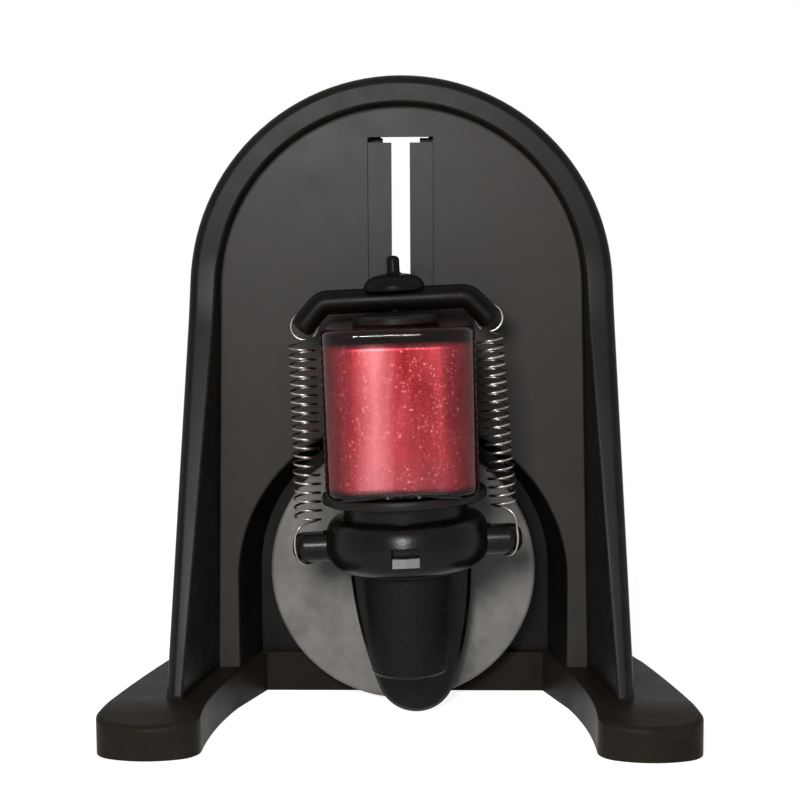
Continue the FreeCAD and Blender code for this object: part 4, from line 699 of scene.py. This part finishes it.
knob = turned("domed_retainer", [
    (1.3, 10.5), (1.3, 16.7), (5.7, 16.55), (6.15, 16.7), (6.3, 17.1), (6.15, 17.7),
    (5.7, 18.5), (5.0, 19.1), (4.0, 19.55), (2.9, 19.8), (1.7, 19.95), (1.35, 20.2),
    (1.3, 20.5), (1.3, 22.8), (1.1, 23.25), (0.7, 23.5), (0.3, 23.6)])
finish_piece(hang(knob), lacquer, "clamp", ["clamp_knob"], smooth=50.0)

# ---- extension springs ------------------------------------------------------------------
# Two springs of bright steel wire, drawn open, pull the clamp down on the bottle. Each has
# a loop behind an end of the bar and a hook round an ear of the carrier.

bright_wire = moulded("bright_wire", (0.17, 0.155, 0.135), (0.30, 0.28, 0.25),
                      (0.22, 0.34), 0.5, (2500.0, 300.0), depth=0.000004, wear=0.5,
                      metallic=1.0)
WIRE_RADIUS = 0.00024
COIL_RADIUS = 0.00270
COIL_TURNS = 19.5
COIL_TOP = 0.0060
STEPS_A_TURN = 24
LOOP_RADIUS = 0.0028
LOOP_MIDDLE = (0.0190, -0.01995, 0.00984)


def eased_line(corners):
    """Places along a smooth line through some corners, four to each stretch."""
    places = []
    for at in range(len(corners) - 1):
        before, start = corners[max(at - 1, 0)], corners[at]
        end, after = corners[at + 1], corners[min(at + 2, len(corners) - 1)]
        for share in (0.0, 0.25, 0.5, 0.75):
            places.append([0.5 * (2 * b + (c - a) * share
                                  + (2 * a - 5 * b + 4 * c - d) * share ** 2
                                  + (3 * b - a - 3 * c + d) * share ** 3)
                           for a, b, c, d in zip(before, start, end, after)])
    return places


def wound_spring(name, side, foot, head, low):
    """One wire: a hook round the ear, the coil leaning from foot to head, and an open loop."""
    hook = [(0.0191, 0.0232, -0.0387), (0.0203, 0.0245, -0.0389), (0.0215, 0.0260, -0.0385),
            (0.0224, 0.0268, -0.0374), (0.0228, 0.0271, -0.0356), (0.0228, 0.0271, -0.0338),
            (0.0225, 0.0270, low - 0.0024), (0.0217, 0.0268, low - 0.0011),
            (0.0205, 0.0263, low - 0.0004), (0.0190, 0.0255, low - 0.0001)]
    route = [(x, -forward, z) for x, forward, z in eased_line(hook)]
    steps = round(STEPS_A_TURN * COIL_TURNS)
    for step in range(steps + 1):
        angle = math.radians(360 / STEPS_A_TURN * step - 165)
        along = step / steps
        route.append((foot + (head - foot) * along + COIL_RADIUS * math.cos(angle),
                      BOTTLE_DEPTH + COIL_RADIUS * math.sin(angle),
                      low + (COIL_TOP - low) * along))
    loop = [(LOOP_MIDDLE[0] + LOOP_RADIUS * math.cos(math.radians(turn)), LOOP_MIDDLE[1],
             LOOP_MIDDLE[2] + LOOP_RADIUS * math.sin(math.radians(turn)))
            for turn in range(268, 600, 12)]
    coil_end = route[-1]
    for share in (0.35, 0.7):
        ease = math.sin(share * math.pi / 2)
        route.append(tuple(start + (end - start) * part for start, end, part in
                           zip(coil_end, loop[0], (share, ease, share))))
    return drawn_wire(name, [(side * x, y, z) for x, y, z in route + loop], WIRE_RADIUS, 3)


for name, side, node, foot, head, low in (
        ("left_coil_spring", -1, "left_spring", 0.0201, 0.0196, -0.0299),
        ("right_coil_spring", 1, "right_spring", 0.0203, 0.0190, -0.0284)):
    spring = hang(wound_spring(name, side, foot, head, low))
    finish_piece(spring, bright_wire, None, [node], smooth=50.0)
    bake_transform(spring)

# ---- floor, light and camera ------------------------------------------------------------
# The machine stands on a plain pale floor in front of a white background, lit by one soft
# lamp near the camera and a low even fill.


def sight_rays(tree):
    """A mask of the rays that see the background: from the camera, and in metal and glass."""
    rays = add(tree, "LightPath")
    either = add_math(tree, "MAXIMUM")
    any_of_them = add_math(tree, "MAXIMUM")
    tree.links.new(rays.outputs["Is Camera Ray"], either.inputs[0])
    tree.links.new(rays.outputs["Is Glossy Ray"], either.inputs[1])
    tree.links.new(either.outputs["Value"], any_of_them.inputs[0])
    tree.links.new(rays.outputs["Is Transmission Ray"], any_of_them.inputs[1])
    return any_of_them.outputs["Value"]


bpy.ops.object.select_all(action="DESELECT")
bpy.ops.mesh.primitive_plane_add(size=6.0, location=(0, 1.0, 0))
floor = bpy.context.active_object
floor.name = "floor"
pale = bpy.data.materials.new("pale_floor")
pale.use_nodes = True
tree = pale.node_tree
shader = tree.nodes["Principled BSDF"]
shader.inputs["Base Color"].default_value = (0.85, 0.85, 0.85, 1)
shader.inputs["Roughness"].default_value = 0.8
shader.inputs["Specular IOR Level"].default_value = 0.0
glow = add(tree, "Emission", Strength=0.88)
faint = add(tree, "BsdfDiffuse", Color=(0.8, 0.8, 0.8, 1))
shown = add(tree, "AddShader")
choose = add(tree, "MixShader")
tree.links.new(glow.outputs["Emission"], shown.inputs[0])
tree.links.new(faint.outputs["BSDF"], shown.inputs[1])
tree.links.new(sight_rays(tree), choose.inputs["Fac"])
tree.links.new(shader.outputs["BSDF"], choose.inputs[1])
tree.links.new(shown.outputs["Shader"], choose.inputs[2])
tree.links.new(choose.outputs["Shader"], tree.nodes["Material Output"].inputs["Surface"])
floor.data.materials.append(pale)

sky = bpy.data.worlds.new("white_surround")
bpy.context.scene.world = sky
sky.use_nodes = True
tree = sky.node_tree
fill = tree.nodes["Background"]
fill.inputs["Color"].default_value = (1, 1, 1, 1)
fill.inputs["Strength"].default_value = 0.15
white = add(tree, "Background", Color=(1, 1, 1, 1), Strength=1.0)
choose = add(tree, "MixShader")
tree.links.new(sight_rays(tree), choose.inputs["Fac"])
tree.links.new(fill.outputs["Background"], choose.inputs[1])
tree.links.new(white.outputs["Background"], choose.inputs[2])
tree.links.new(choose.outputs["Shader"], tree.nodes["World Output"].inputs["Surface"])

LAMP_AIM = Vector((0, 0, 0.07))
bpy.ops.object.light_add(type="AREA", location=(-0.045, -0.44, 0.185))
lamp = bpy.context.active_object
lamp.name = "lamp"
lamp.data.energy = 1.95
lamp.data.size = 0.08
lamp.rotation_euler = (LAMP_AIM - lamp.location).to_track_quat("-Z", "Y").to_euler()

CAMERA_PLACE = (0.01112, -0.40438, 0.11099)
CAMERA_TURN, CAMERA_DIP, CAMERA_ROLL = 1.649, 6.07, -0.302
bpy.context.scene.view_settings.view_transform = "Standard"
bpy.ops.object.camera_add()
camera = bpy.context.active_object
camera.name = "camera"
camera.data.sensor_width = 36.0
camera.data.lens = 82.8
camera.matrix_world = (Matrix.Translation(CAMERA_PLACE)
                       @ Matrix.Rotation(math.radians(CAMERA_TURN), 4, "Z")
                       @ Matrix.Rotation(math.radians(90 - CAMERA_DIP), 4, "X")
                       @ Matrix.Rotation(math.radians(CAMERA_ROLL), 4, "Z"))
bpy.context.scene.camera = camera
